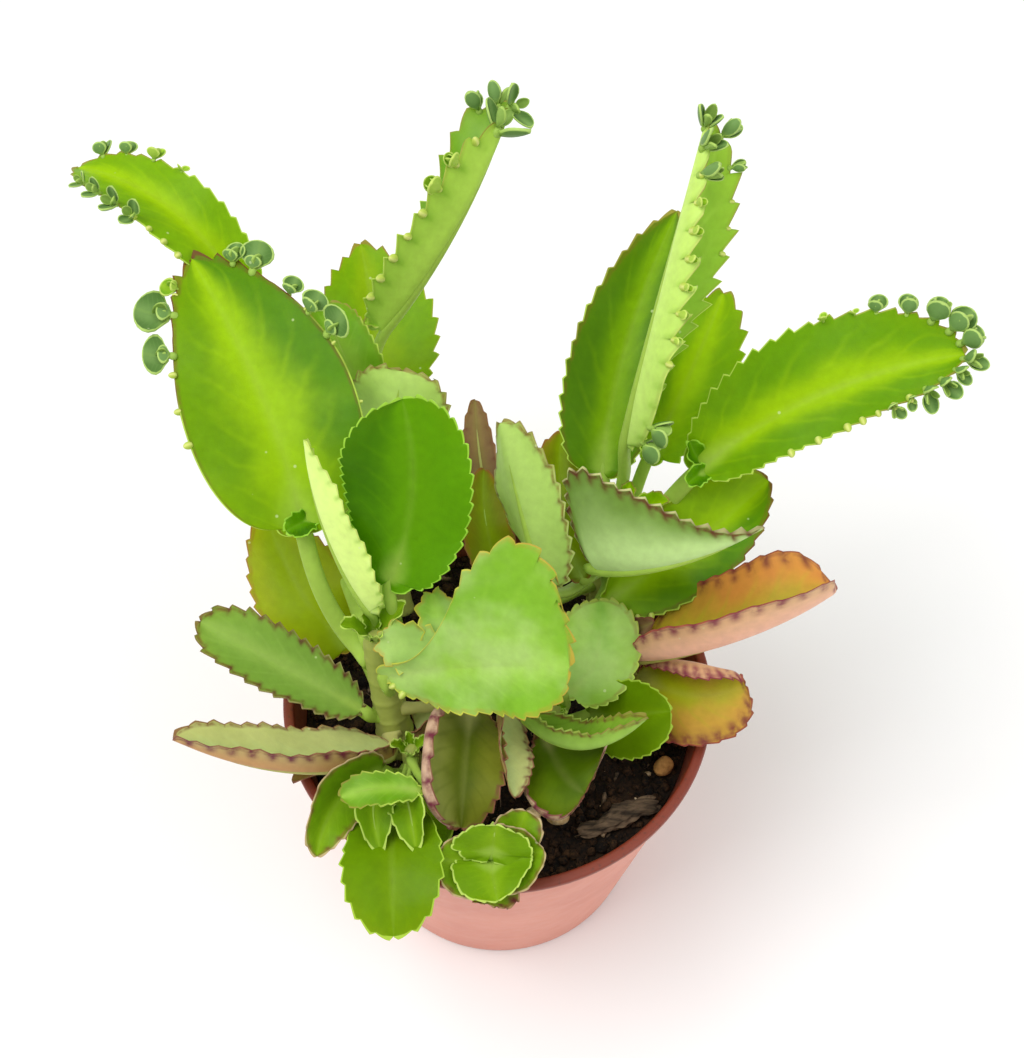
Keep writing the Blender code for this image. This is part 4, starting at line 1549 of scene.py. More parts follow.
@dataclass
class NurseryPot:
    """A thin tapered pot with a rolled lip. Millimetres.

    inside_foot, inside_slope: the radius in metres below which the dark inside colour starts,
    painted shade inside the pot, at the foot, and its growth with height. upper_shade, lip_shade,
    dusty: heights in metres between which the wall darkens with painted shade below the lip,
    the lip turns dark with painted shade and dust gathers.
    """

    height: float = 92.0
    rim: float = 60.0
    base: float = 43.0
    wall: float = 1.5
    floor: float = 2.0
    lip_height: float = 3.6
    lip_out: float = 1.4
    holes: int = 6
    hole_radius: float = 4.0
    hole_circle: float = 28.0
    segments: int = 160
    inside_foot: float = 0.04245
    inside_slope: float = 0.1695
    upper_shade: Pair = (0.074, 0.0885)
    lip_shade: Pair = (0.0902, 0.0909)
    dusty: Pair = (0.08, 0.092)

    def wall_radius(self, height: float) -> float:
        """Give the outer radius of the wall at a height."""
        return self.base + (self.rim - self.lip_out - self.base) * height / self.height

    def profile(self) -> list[Pair]:
        """Trace the half section from the floor's middle, over the lip and down to the underside.

        Returns:
            Radii and heights in millimetres.
        """
        lip = self.height - self.lip_height
        inner = self.wall_radius(self.height) - self.wall
        points = [(0.02, self.floor), (10.0, self.floor), (20.0, self.floor), (34.0, self.floor)]
        floor_edge = self.wall_radius(self.floor) - self.wall
        points += arc(floor_edge - 1.5, self.floor + 1.5, 1.5, (-90, -65, -40, -15))
        points += [(self.wall_radius(z) - self.wall, z) for z in np.linspace(6, self.height - 1.2, 26)]
        points += arc(inner + 0.7, self.height - 0.7, 0.7, (180, 150, 120, 90))
        points += arc(self.rim - 0.8, self.height - 0.8, 0.8, (90, 65, 40, 15, 0))
        points += arc(self.rim - 0.9, lip + 1.9, 0.9, (0, -25, -50, -72))
        points.append((self.wall_radius(lip) + 0.2, lip + 0.4))
        points += [(self.wall_radius(z), z) for z in np.linspace(lip - 0.3, 6, 30)]
        points += arc(self.wall_radius(1.2) - 1.1, 1.1, 1.1, (0, -30, -60, -90))
        points += [(38.0, 0.0), (36.5, 0.5), (20.0, 0.5), (18.5, 0.0), (0.02, 0.0)]
        return points

    def material(self) -> Material:
        """Make the terracotta-coloured plastic: faint flow lines, dust and scuffs, with painted shade inside
        the pot, on the upper wall and on the lip.

        Returns:
            The material.
        """
        material, g, shader = new_material("terracotta_plastic")
        x, y, z = g.split(g.here())
        streaks = g.noise(220.0, 4.0, g.vector(g.times(x, 0.25), g.times(y, 0.25), z))
        tone = g.mix(g.step(0.3, 0.7, g.noise(35.0, 3.0)), (0.68, 0.245, 0.17), (0.75, 0.295, 0.21))
        tone = g.mix(g.times(g.step(0.45, 0.75, streaks), 0.25), tone, (0.8, 0.38, 0.29))
        # Painted shade: the upper wall darkens below the rolled lip.
        tone = g.mix(g.times(g.step(*self.upper_shade, z), 0.25), tone, (0.5, 0.14, 0.085))
        # Painted shade inside the pot: the inner wall and floor take a dark colour.
        radius = g.math("SQRT", g.plus(g.math("POWER", x, 2.0), g.math("POWER", y, 2.0)))
        inside = g.math("LESS_THAN", radius, g.plus(self.inside_foot, g.times(z, self.inside_slope)))
        tone = g.mix(inside, tone, (0.24, 0.055, 0.03))
        # Painted shade: the top of the lip turns dark red-brown.
        tone = g.mix(g.times(g.step(*self.lip_shade, z), 0.95), tone, (0.2, 0.026, 0.008))
        dust = g.times(g.step(0.55, 0.75, g.noise(900.0, 5.0)), g.step(*self.dusty, z))
        tone = g.mix(g.times(dust, 0.5), tone, (0.05, 0.03, 0.02))
        g.put(tone, shader.inputs["Base Color"])
        g.put(g.plus(0.36, g.times(g.noise(300.0, 4.0), 0.22)), shader.inputs["Roughness"])
        g.relief(shader, g.plus(streaks, g.times(g.noise(1800.0, 2.0), 0.3)), 0.25, 0.0002)
        set_inputs(shader, Subsurface_Weight=0.08, Subsurface_Radius=(1.0, 0.4, 0.2), Subsurface_Scale=0.002)
        return material

    def build(self) -> Piece:
        """Build the pot and cut its drainage holes.

        Returns:
            The piece.
        """
        profile = np.array(self.profile())
        turn = circle(self.segments)
        rings = np.stack([profile[:, :1] * np.cos(turn), profile[:, :1] * np.sin(turn),
                          np.repeat(profile[:, 1:], self.segments, 1)], -1)
        faces = tube_faces(len(profile), self.segments, flip=True)
        mesh = skin_mesh("pot_shell", rings.reshape(-1, 3), faces, self.material())
        mesh.set_sharp_from_angle(angle=math.radians(40))
        pot = link("pot_shell", mesh)
        drill = self.drill()
        cut = pot.modifiers.new("drainage", "BOOLEAN")
        cut.object = drill
        cut.solver = "EXACT"
        graph = bpy.context.evaluated_depsgraph_get()
        done = bpy.data.meshes.new_from_object(pot.evaluated_get(graph))
        pot.modifiers.clear()
        pot.data = done
        bpy.data.objects.remove(drill)
        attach(pot, BODY)
        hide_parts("pot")
        return pot

    def drill(self) -> Piece:
        """Make the ring of rounds that cuts the drainage holes.

        Returns:
            The cutter.
        """
        shape = bmesh.new()
        for index in range(self.holes):
            angle = 2 * math.pi * (index + 0.5) / self.holes
            made = bmesh.ops.create_cone(shape, cap_ends=True, segments=40, radius1=self.hole_radius * MM,
                                         radius2=self.hole_radius * MM, depth=8 * MM)
            spot = Vector((math.cos(angle), math.sin(angle), 0)) * self.hole_circle * MM
            bmesh.ops.translate(shape, vec=spot, verts=made["verts"])
        mesh = bpy.data.meshes.new("drill")
        shape.to_mesh(mesh)
        shape.free()
        return link("drill", mesh)


@dataclass
class PottingMix:
    """The soil: a crumbly surface with grit, slivers of bark and fine roots. Millimetres.

    swells: waves on each millimetre, depth and heading in radians of the surface's waves.
    """

    top: float = 80.0
    radius: float = 54.7
    bottom: float = 2.3
    bottom_radius: float = 41.6
    crumbs: int = 2600
    slivers: int = 90
    grit: int = 130
    fibres: int = 46
    seed: int = 11
    swells: tuple[Point, ...] = ((0.11, 0.7, 0.3), (0.23, 0.55, 1.9), (0.47, 0.4, 4.1), (0.9, 0.3, 2.2),
                                 (1.7, 0.18, 5.0))

    def height(self, x: Array, y: Array) -> Array:
        """Give the height of the crumbly surface.

        Args:
            x: Positions across.
            y: Positions along.

        Returns:
            Heights in millimetres.
        """
        waves = np.zeros_like(x)
        for scale, depth, turn in self.swells:
            ax, ay = math.cos(turn * 1.7), math.sin(turn * 1.7)
            bent = 1.5 * np.sin(scale * 0.7 * (ay * x - ax * y))
            waves += depth * np.sin(scale * (ax * x + ay * y) + turn + bent)
        return self.top - 0.6 + 0.8 * waves

    def bed(self) -> Draft:
        """Make the bed and its sides.

        Returns:
            The draft of the soil's body.
        """
        radii = np.linspace(0.3, self.radius, 90)
        turn = circle(BED_SIDES)
        x, y = np.outer(radii, np.cos(turn)), np.outer(radii, np.sin(turn))
        skirt_r = np.array([self.radius - 0.1, self.bottom_radius])
        skirt = np.stack([np.outer(skirt_r, np.cos(turn)), np.outer(skirt_r, np.sin(turn)),
                          np.repeat([[self.top - 2.5], [self.bottom]], BED_SIDES, 1)], -1)
        points = np.concatenate([np.stack([x, y, self.height(x, y)], -1), skirt])
        draft = Draft("soil_bed")
        draft.add(points, tube_faces(len(points), BED_SIDES, flip=True), (0.0, 0.0, 0.0), PLAIN)
        return draft

    def place(self, inset: float, random: Random) -> tuple[float, float]:
        """Draw a place on the surface.

        Args:
            inset: Distance kept from the wall in millimetres.
            random: Source of the position.

        Returns:
            Its x and y.
        """
        r = (self.radius - inset) * math.sqrt(random.uniform())
        angle = random.uniform(0, 2 * math.pi)
        return r * math.cos(angle), r * math.sin(angle)

    def scatter(self, draft: Draft, count: int, sizes: Pair, stretch: float, tone: float,
                random: Random) -> None:
        """Scatter broken bits over the surface.

        Args:
            draft: The draft to add to.
            count: How many.
            sizes: Smallest and largest radius in millimetres.
            stretch: Length over width.
            tone: Spread of the bits' lightness.
            random: Source of the positions.
        """
        points, faces = ball(1)
        for _ in range(count):
            x, y = self.place(1.2, random)
            size = sizes[0] + (sizes[1] - sizes[0]) * random.uniform() ** 2.5
            bit = points * random.uniform(0.6, 1.15, (len(points), 1))
            bit = bit * np.array([stretch, 1.0, random.uniform(0.5, 0.9)])
            turn = spun(random.uniform(0, 2 * math.pi))
            tilt = random.uniform(-0.5, 0.5)
            c, s = math.cos(tilt), math.sin(tilt)
            lean = np.array([[c, 0, s], [0, 1, 0], [-s, 0, c]])
            spot = np.array([x, y, float(self.height(np.array(x), np.array(y))) + 0.35 * size])
            reach = self.radius - 0.3 - stretch * size
            if math.hypot(x, y) > reach:
                spot[:2] *= max(reach, 0) / math.hypot(x, y)
            draft.add(spot + (bit * size) @ lean @ turn, faces, (random.uniform(-tone, tone), 0, 0), PLAIN)

    def roots(self, draft: Draft, random: Random) -> None:
        """Add fine roots and peat fibres.

        Args:
            draft: The draft to add to.
            random: Source of the positions.
        """
        for _ in range(self.fibres):
            spots = [np.array(self.place(14, random))]
            heading = random.uniform(0, 2 * math.pi)
            for _ in range(14):
                heading += random.normal(0, 0.28)
                stride = random.uniform(0.5, 0.95)
                spots.append(spots[-1] + stride * np.array([math.cos(heading), math.sin(heading)]))
            line = np.array(spots)
            lift = 0.55 + 0.6 * np.sin(np.linspace(0, math.pi, len(line)))
            centre = np.column_stack([line, self.height(line[:, 0], line[:, 1]) + lift])
            along = unit(np.gradient(centre, axis=0))
            side = unit(np.cross(along, (0.0, 0.0, 1.0)))
            rise = np.cross(side, along)
            thin = random.uniform(0.08, 0.2) * np.sin(np.linspace(0.35, math.pi - 0.2, len(line)))
            points = centre[:, None] + thin[:, None, None] * hoops(side, rise, circle(6))
            draft.add(points, grid_faces(len(line), 6, ring=True), (0.2, 0, 0), PLAIN)

    def build(self, recipes: Recipes) -> list[Piece]:
        """Build the soil.

        Args:
            recipes: The shader groups.

        Returns:
            The pieces.
        """
        random = np.random.default_rng(self.seed)
        bed = self.bed().build(PEAT.make(recipes))
        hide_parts("soil")
        crumbs, bark, pale = Draft("soil_crumbs"), Draft("soil_slivers"), Draft("soil_grit")
        self.scatter(crumbs, self.crumbs, (0.35, 2.0), 1.25, 0.45, random)
        self.scatter(bark, self.slivers, (0.4, 1.3), 3.6, 0.3, random)
        self.scatter(pale, self.grit, (0.35, 2.0), 1.2, 0.2, random)
        self.roots(bark, random)
        bits = ((crumbs, CRUMB), (bark, WOOD), (pale, GRIT))
        pieces = [bed, *(draft.build(finish.make(recipes)) for draft, finish in bits)]
        return pieces


@dataclass
class Pebble:
    """A rounded stone lying on the soil. Millimetres."""

    node: str
    centre: Point
    half: Point
    turn: float
    finish: EarthFinish

    def build(self, recipes: Recipes) -> Piece:
        """Build the stone.

        Args:
            recipes: The shader groups.

        Returns:
            The piece.
        """
        points, faces = ball(5)
        k = self.turn
        lumps = 0.07 * np.sin(2.3 * points[:, 0] + k) * np.cos(2.9 * points[:, 1] + 2 * k)
        lumps += 0.04 * np.sin(5.1 * points[:, 2] + 3.7 * points[:, 0] + k)
        flat = points * (1 + lumps)[:, None]
        flat = np.sign(flat) * np.abs(flat) ** 0.92 * np.array(self.half)
        draft = Draft(self.node + "_rough")
        draft.add(np.array(self.centre) + flat @ spun(math.radians(self.turn)), faces, (0, 0, 0), PLAIN)
        piece = draft.build(self.finish.make(recipes))
        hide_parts(self.node)
        return piece


@dataclass
class BarkChip:
    """A long grooved chip of bark. Millimetres."""

    centre: Point = (33, -35, 82.2)
    size: Point = (23, 7.5, 3.4)
    turn: float = 24

    def build(self, recipes: Recipes) -> Piece:
        """Build the chip as a tapering body with long ridges.

        Args:
            recipes: The shader groups.

        Returns:
            The piece.
        """
        share = np.linspace(0, 1, BARK_ROWS)
        turn = circle(BARK_SIDES)
        knots = (0, 0.06, 0.25, 0.5, 0.75, 0.95, 1)
        wide = np.interp(share, knots, (0.35, 0.6, 0.5, 0.95, 0.62, 0.8, 0.4))
        high = np.interp(share, knots, (0.2, 0.55, 0.95, 1, 0.85, 0.55, 0.25))
        drift = np.interp(share, (0, 0.25, 0.5, 0.75, 1), (0.5, -0.4, 0.3, 0.4, -0.3))
        ridges = 1 + 0.07 * np.sin(9 * turn)
        for depth, along, around in ((0.05, 3, 17), (0.1, 11, 2), (0.07, 37, 5)):
            ridges = ridges + depth * np.sin(around * turn[None] + along * share[:, None])
        x = np.repeat(((share - 0.5) * self.size[0])[:, None], BARK_SIDES, 1)
        x = x + 0.5 * np.sin(5 * turn)[None] * (np.abs(share - 0.5) > 0.46)[:, None]
        y = np.outer(wide, np.cos(turn)) * ridges * self.size[1] / 2 + drift[:, None]
        z = np.outer(high, np.sin(turn)) * ridges * self.size[2] / 2
        points = np.stack([x, y, z], -1) @ spun(math.radians(self.turn)) + np.array(self.centre)
        draft = Draft("bark_chip_rough")
        draft.add(points, tube_faces(BARK_ROWS, BARK_SIDES), (0.1, 0, 0), PLAIN)
        piece = draft.build(WOOD.make(recipes))
        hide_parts("bark_chip")
        return piece


# --- the plant


STEMS = (
    Stem("stem_a", (-28, -12, 80.35), (-30, -7, 100), (-32, -1, 122), (5.5, 3.6)),
    Stem("stem_b", (-30, 34, 80.35), (-32, 45, 100), (-32, 56, 120), (4.5, 3.2)),
    Stem("stem_c", (-23, -21, 80.35), (-23, -22, 90), (-23, -23, 99), (3.2, 2.4), 3),
    Stem("stem_d", (-2, -48, 80.35), (-2, -48.5, 89), (-2, -49, 98), (2.8, 1.8), 3),
    Stem("stem_e", (15, -7, 80.35), (15.5, -8, 88), (16, -9, 94), (3.6, 2.6), 3),
    Stem("stem_f", (32, 37, 80.35), (33, 36, 103), (34, 34, 126), (5.5, 3.6), 7),
)

LEFT, RIGHT = Half
BEADS, SPROUTS, PLANTLETS = Brood
SUNWARD = (0, -0.59, 0.81)
BUD = {"fold": 30, "stalk": 1.1, "thick": 1.1, "teeth": 7, "depth": 0.5}
CUPPED = {"thick": 1.4, "base": 0.9, "belly": 0.12, "point": 0.5}
SCALLOP = {"thick": 1.2, "base": 0.8, "belly": 0.55, "point": 0.4, "hook": 0.55, "lobe": True}
EAR = {"fold": 30, "thick": 1.0, "base": 0.8, "point": 0.4, "teeth": 4, "depth": 0.5, "lobe": True}

BLADES = (
    Blade("leaf_a1", 89, (-30, -22, 95), (-54, -34, 111), (-80, -33, 124), (7, 14), (-0.1, 0.72, 0.69),
          RED_BACKED, fold=40, stalk=2.2, thick=2.2, base=0.5, depth=1.0, hook=0.6, point=0.45,
          blot=(1.8, 0.4)),
    Blade("leaf_a2", 85, (-22, -12, 87), (-17, -9, 90), (-10, -5, 91), (8, 6), (0.21, 0.57, 0.8),
          RED_BACKED, fold=40, stalk=1.6, thick=1.6, teeth=8, depth=0.5),
    Blade("leaf_a3", 96, (-7, -13, 101), (-8, -32, 107), (-9, -46, 100), (10, 17), (0.1, -0.42, 0.9),
          CURLED, stalk=1.8, thick=2, curl=(0, 190), belly=0.5, point=0.5, teeth=12, depth=1.0,
          curl_power=4.0, blot=(0.5, 1.9)),
    Blade("leaf_a4", 95, (-37, -12, 101), (-56, -6, 113), (-78, 2, 123), (10, 8.5), (-0.1, -0.33, 0.94),
          DUSKY, fold=(40, 5), base=0.15, belly=0.72, point=0.45, teeth=15, depth=1.3),
    Blade("leaf_a5", 98, (-42, 11, 98), (-55, 21, 108), (-67, 46, 112), (13, 14), SUNWARD, OLIVE, fold=5,
          teeth=16),
    Blade("leaf_a6", 106, (-28, -12, 118), (-4, -17, 132), (18, -22, 140), (32.5, 13), (0.05, -0.81, 0.58),
          FROSTED_SHEEN, fold=(5, 10), stalk=2.2, thick=2, base=0.12, belly=(0.8, 0.68), rise=(3.5, 0.5),
          point=(0.38, 0.42), teeth=17, depth=(2.2, 1.0), wave=1.3, start=(0.45, 0.1), flanks=(0.8, 0.7),
          growths=(Growth(BEADS, RIGHT, (1, 2), 0.9, lift=0.2),)),
    Blade("leaf_a7", 111, (-51, 21, 140), (-62, 50, 158), (-84, 91, 168), (22, 24), (0, -0.5, 0.86), BROAD,
          fold=(10, 8), stalk=2.6, thick=2.2, teeth=20, depth=2.4, wave=0.8, point=0.75, start=0.86,
          growths=(Growth(PLANTLETS, LEFT, (17, 15), 7.6, 4, 0.4, 0.5, 0.45, 12, 1.9),
                   Growth(SPROUTS, LEFT, (18.3,), 4.2, 4, 0.7, 0.5, 0.5, 18, 1.7),
                   Growth(PLANTLETS, RIGHT, (12.5,), 6.6, 4, 0.7, 0.5, 0.5, 15, 1.6),
                   Growth(PLANTLETS, RIGHT, (17,), 6.6, 4, 0.4, 0.5, 0.5, 15, 1.5),
                   Growth(PLANTLETS, RIGHT, (18, 15, 13.8), 4.8, 4, 0.6, 0.7, 0.6, 28, 1.5),
                   Growth(BEADS, LEFT, (10, 12, 14, 15, 17, 18), 0.95, lift=0.2),
                   Growth(BEADS, RIGHT, (6, 9, 12, 14, 15, 17), 0.6, lift=0.3))),
    Blade("leaf_a8", 112, (-33, 22, 120), (-36, 30, 132), (-39, 38, 140), 9, SUNWARD, PALE, stalk=1.6,
          thick=1.4, teeth=9, depth=1.0),
    Blade("leaf_a9", 115.5, (-71, 91, 150), (-90, 107, 171), (-121, 127, 170), (12.5, 10.5),
          (0.1, -0.25, 0.96), SUNLIT, fold=(30, 10), stalk=2.4, thick=2, belly=(0.55, 0.5), teeth=15,
          depth=1.0, point=(0.5, 0.6),
          growths=(Growth(PLANTLETS, LEFT, (9, 10.2, 11.4, 12.6), 5.0, 4, 0.8, 0.9, 0.65, 45, 0.85),
                   Growth(PLANTLETS, RIGHT, (12.5, 13.7), 5.2, 4, 0.5, 0.8, 0.7, 34, 1.3),
                   Growth(SPROUTS, RIGHT, (11.1,), 4.0, 4, 0.5, 0.8, 0.7, 34, 1.3),
                   Growth(SPROUTS, RIGHT, (9.5,), 2.2),
                   Growth(BEADS, LEFT, (2, 3, 4, 5, 6, 7, 8, 9), 1.1))),
    Blade("leaf_a10", 119.5, (-33, 3, 129), (-43, 14, 150), (-47, 25, 170), (11, 9), (0.91, 0.4, 0.13),
          BRIGHT, fold=37, stalk=1.8, thick=1.6, belly=0.35, point=0.8),
    Blade("leaf_a11", 120.5, (-27, 6, 138), (-21, 19, 157), (-23, 33, 176), (17.5, 15), (0, -0.5, 0.86),
          DEEP, fold=8, base=0.4, belly=(0.7, 0.5), point=0.45, teeth=22, wave=0.7, rise=(0.9, 0.5),
          flanks=(0.7, 0.6)),
    Blade("leaf_b1", 100, (-35, 84, 118), (-38, 107, 128), (-43, 132, 136), (17, 18), SUNWARD, YELLOWED,
          fold=8, stalk=2.2, belly=0.4, point=0.9, teeth=13, depth=1.9),
    Blade("leaf_b2", 110, (-29, 50, 136), (-27, 52, 150), (-25, 57, 160), 14, (0, 0.16, -0.99), GREYED,
          fold=8, stalk=1.8, base=0.5, point=0.3, teeth=12, depth=1.3),
    Blade("leaf_b3", 112, (-35, 66, 140), (-43, 72, 152), (-47, 86, 156), 9, SUNWARD, HAZY, fold=8,
          stalk=1.6, thick=1.4, base=0.5, point=0.4, teeth=12, depth=0.7, flanks=(0.7, 0.6)),
    Blade("leaf_b4", 118, (-32, 85, 150), (-11, 96, 178), (3.5, 118.5, 197), (12.5, 10.5),
          (-0.78, 0.36, 0.5), HAZY, fold=60, stalk=2.6, thick=2.2, base=0.5, belly=(0.8, 0.3), point=0.5,
          teeth=12, depth=(2.6, 3.0), crowd=1.35, wave=0.3, rise=(2.2, 0.5), power=3.0, blot=2.2,
          close=(1.0, 0.88),
          growths=(Growth(PLANTLETS, RIGHT, (10.9,), 8.6, 4, -0.5, 0.95, 0.7, 58, 0.66),
                   Growth(PLANTLETS, LEFT, (12, 11.6), 8.0, 4, -0.4, 0.95, 0.72, 55, 0.66),
                   Growth(PLANTLETS, LEFT, (11.0,), 7.4, 4, 0.3, 0.95, 0.7, 48, 0.75),
                   Growth(SPROUTS, RIGHT, (8, 9), 4.4, 4, -0.2, 0.9, 0.8, 22),
                   Growth(BEADS, RIGHT, (3, 4, 5, 6, 7, 8, 9, 10), 1.2, lift=-0.6))),
    Blade("leaf_c1", 83, (-36, -22, 86), (-45, -25, 91), (-54, -31, 95), 6, (0, 0.58, 0.81), DRY, fold=40,
          stalk=1, thick=1, teeth=8, depth=0.4),
    Blade("leaf_c2", 89, (-27, -39, 97), (-26, -57, 105), (-25, -74, 99), (12.5, 12), (0, -0.42, 0.91),
          TENDER, fold=8, stalk=1.6, thick=1.6, belly=0.55, point=0.5, teeth=12, depth=1.0, start=0.4),
    Blade("leaf_c3", 86.5, (-31, -29, 98), (-40, -41, 106), (-45, -55, 103), (7, 9), (0.19, -0.41, 0.89),
          YOUNG_PINK, fold=(5, 50), stalk=1.6, thick=1.6, belly=0.5, teeth=11, depth=0.5),
    Blade("leaf_c4", 83.5, (-22, -28, 88), (-19, -38, 91), (-16, -48, 90), 9, SUNWARD, TENDER, fold=8,
          stalk=1.4, thick=1.4, teeth=8, depth=0.5),
    Blade("leaf_c5", 97, (-20, -41, 112), (-30, -43, 117), (-38, -46, 118), (5, 4), (0, 0.02, 1), HAZY,
          fold=(10, 40), stalk=1.3, thick=1.3, belly=0.6, point=0.4, teeth=9, depth=0.7),
    Blade("leaf_c6", 92, (-29, -38, 103), (-31, -44, 107), (-29, -54, 104), 5.5, (0.19, -0.41, 0.89), YOUNG,
          **BUD),
    Blade("leaf_c7", 94.5, (-24, -39, 104), (-22, -45, 108), (-20, -54, 105), 5, (-0.19, -0.41, 0.89), YOUNG,
          **BUD),
    Blade("leaf_d1", 87, (-1, -60, 96), (0, -63, 96), (0, -65, 95), 6, SUNWARD, OLD_PINK, stalk=1.2,
          thick=1.2, teeth=6, depth=0.5, blot=1.5),
    Blade("leaf_d2", 90, (-1, -56.5, 100), (-0.5, -61, 100.5), (0.5, -65.5, 100.5), 10.5, SUNWARD, YOUNG,
          fold=22, stalk=1.4, teeth=10, depth=0.45, flanks=(0.7, 0.6), **CUPPED),
    Blade("leaf_d3", 93.5, (-4, -55.5, 100), (-9.5, -56, 102), (-15, -55.5, 104), 9.5, (0.25, -0.45, 0.86),
          YOUNG_PINK, fold=25, stalk=1.3, teeth=9, depth=0.25, **(CUPPED | {"base": 0.85})),
    Blade("leaf_d4", 91.5, (1, -54.5, 100), (6.5, -54.5, 102), (12, -54, 104.5), 9.5, (-0.25, -0.45, 0.86),
          YOUNG_PINK, fold=25, stalk=1.3, teeth=9, depth=0.25, **(CUPPED | {"base": 0.85})),
    Blade("leaf_d5", 96.5, (-1, -54, 104), (-0.5, -52, 107.5), (0, -50, 110.5), 10, (0, -0.75, 0.66), YOUNG,
          fold=8, stalk=1.1, thick=1.2, base=0.8, belly=0.12, point=0.5, teeth=10, depth=0.6,
          flanks=(0.7, 0.6)),
    Blade("leaf_e1", 83.5, (13, -15, 92), (17, -29, 98), (23, -36, 99), (22, 15), (0, -0.5, 0.86),
          OLIVE_CURLED, fold=(0, 10), stalk=1.8, curl=(165, 160), base=0.2, belly=0.65, point=0.3, teeth=16,
          depth=0.6, curl_power=5.0, blot=1.3, rise=1.5),
    Blade("leaf_e2", 86, (2, -11, 98), (2, -27, 104), (5, -39, 103), (8, 7), (0.59, -0.3, 0.75), RED_BACKED,
          fold=(20, 50), stalk=1.6, thick=1.6, base=0.5, teeth=10, depth=0.6),
    Blade("leaf_e3", 92.5, (20, -8, 103), (27, 0, 109), (28, 15, 113), (13, 11), SUNWARD, MOSSY, stalk=1.8,
          base=0.2, belly=0.55, point=0.45, teeth=16, depth=0.8, flanks=(0.7, 0.6)),
    Blade("leaf_e4", 86.5, (26, -9, 92), (35, -13, 100), (46, -16, 107), (9.5, 12), SUNWARD, TENDER,
          stalk=1.8, belly=0.5, point=0.4, depth=0.6),
    Blade("leaf_e5", 91, (9, -18, 105), (23, -29.5, 113.5), (38, -26, 122), (7.5, 5), (0, 0.23, 0.97),
          FOLDED, fold=(20, 95), stalk=1.6, thick=1.6, base=0.5, point=0.5, depth=0.8, blot=0.7),
    Blade("leaf_f1", 84, (0, 39, 100), (-5, 62, 112), (-7, 82, 120), 5, SUNWARD, DRY, fold=8, stalk=1.2,
          thick=1, teeth=10, depth=0.5),
    Blade("leaf_f2", 90, (3, 23, 106), (-3, 37, 116), (-4, 54, 122), 7, SUNWARD, OLIVE_SHADED, fold=8,
          stalk=1.5, thick=1.4, teeth=10, depth=0.5),
    Blade("leaf_f3", 88, (40, 2, 94), (53, -7, 100), (67, -7, 105), (16, 14), (0, -0.42, 0.91), RUDDY,
          fold=(5, 10), stalk=1.8, curl=(200, 0), belly=0.5, point=0.35, teeth=16, depth=0.6,
          curl_power=2.0, blot=2.0),
    Blade("leaf_f4", 95, (40, 2, 106.5), (64, -1, 122), (88, 6, 132), (18, 14), (0, 0.22, 0.98), REDDENED,
          fold=(26, 75), stalk=2.2, thick=2.2, point=0.25, depth=0.5, blot=2.2, power=4.0),
    Blade("leaf_f5", 107.5, (23, 23, 114), (18, 39, 123), (18, 61, 130), 10, SUNWARD, OLIVE_SHADED, fold=8,
          stalk=1.8, thick=1.6, depth=0.6),
    Blade("leaf_f6", 103, (13, 16, 122), (7, 24, 142), (1, 44, 154), (12, 14), (0.7, 0.49, -0.51), GREYED,
          fold=(15, 25), belly=0.5, point=0.5, depth=1.1),
    Blade("leaf_f7", 98, (31, 17, 111), (53, 27, 123), (75, 43.5, 130), 13, (0, -0.42, 0.91), BROWN_EDGED,
          stalk=2.2, thick=2, base=0.2, belly=0.45, rise=(1, 0.5), point=(0.35, 0.7), teeth=16, depth=0.8,
          growths=(Growth(BEADS, RIGHT, (3, 4), 0.8, lift=0.2),)),
    Blade("leaf_f8", 113, (28.5, 12, 135), (47, 5, 148), (66, 8, 157), (16, 29), (0, 0.9, 0.44), TROUGH,
          fold=55, stalk=2.4, thick=2.2, base=0.95, belly=0.12, power=1.2, point=1.6, teeth=20, depth=1.5,
          hook=0.6, blot=1.5),
    Blade("leaf_f9", 116, (43, 53, 130), (54, 70, 146), (63, 88, 158), (10, 12), (0.1, -0.58, 0.81), SUNLIT,
          teeth=11, depth=2.0),
    Blade("leaf_f10", 118, (29, 46, 132), (35, 72, 152), (50, 106, 172), (14, 12), (-0.1, -0.58, 0.81),
          SHADED, stalk=2.4, thick=2, base=0.45, point=0.75, teeth=18, depth=1.0),
    Blade("leaf_f11", 119, (55, 39, 142), (83, 45, 164), (117.5, 47, 177), (17.5, 11.5), (0, -0.37, 0.93),
          SUNLIT_DEEPER_SHADE, fold=12, stalk=2.6, thick=2.2, base=0.35, belly=0.5, point=(0.5, 0.55), teeth=20,
          depth=(1.4, 0.9), rise=(0.8, 0.5),
          growths=(Growth(PLANTLETS, LEFT, (16.4, 17.6, 18.6, 19.4), 6.0, 4, 0.3, 0.9, 0.75, 32),
                   Growth(PLANTLETS, LEFT, (15,), 4.8, 4, 0.4, 0.9, 0.7, 30, 1.3),
                   Growth(SPROUTS, LEFT, (12.5, 14), 2.3, 2, 0.4),
                   Growth(PLANTLETS, RIGHT, (19.7, 18.9, 18, 17), 5.6, 4, 0.3, 0.9, 0.7, 40, 0.8),
                   Growth(PLANTLETS, RIGHT, (16, 15), 3.6, 4, 0.3, 0.9, 0.7, 50, 0.9),
                   Growth(BEADS, RIGHT, (8, 10, 12, 13, 14, 15, 16, 17), 0.95, lift=0.2))),
    Blade("leaf_f12", 123, (36, 43, 148), (43, 61, 186), (52, 90, 214), (9.5, 14), (0.9, -0.26, 0.36), PALE,
          fold=41, stalk=2.6, thick=2.2, base=0.25, belly=(0.3, 0.66), point=(0.9, 0.5), teeth=15,
          depth=(4.2, 2.8), crowd=1.2, wave=0.3, rise=(0.5, 3), hook=0.82, curl=(55, 0), curl_power=5.0,
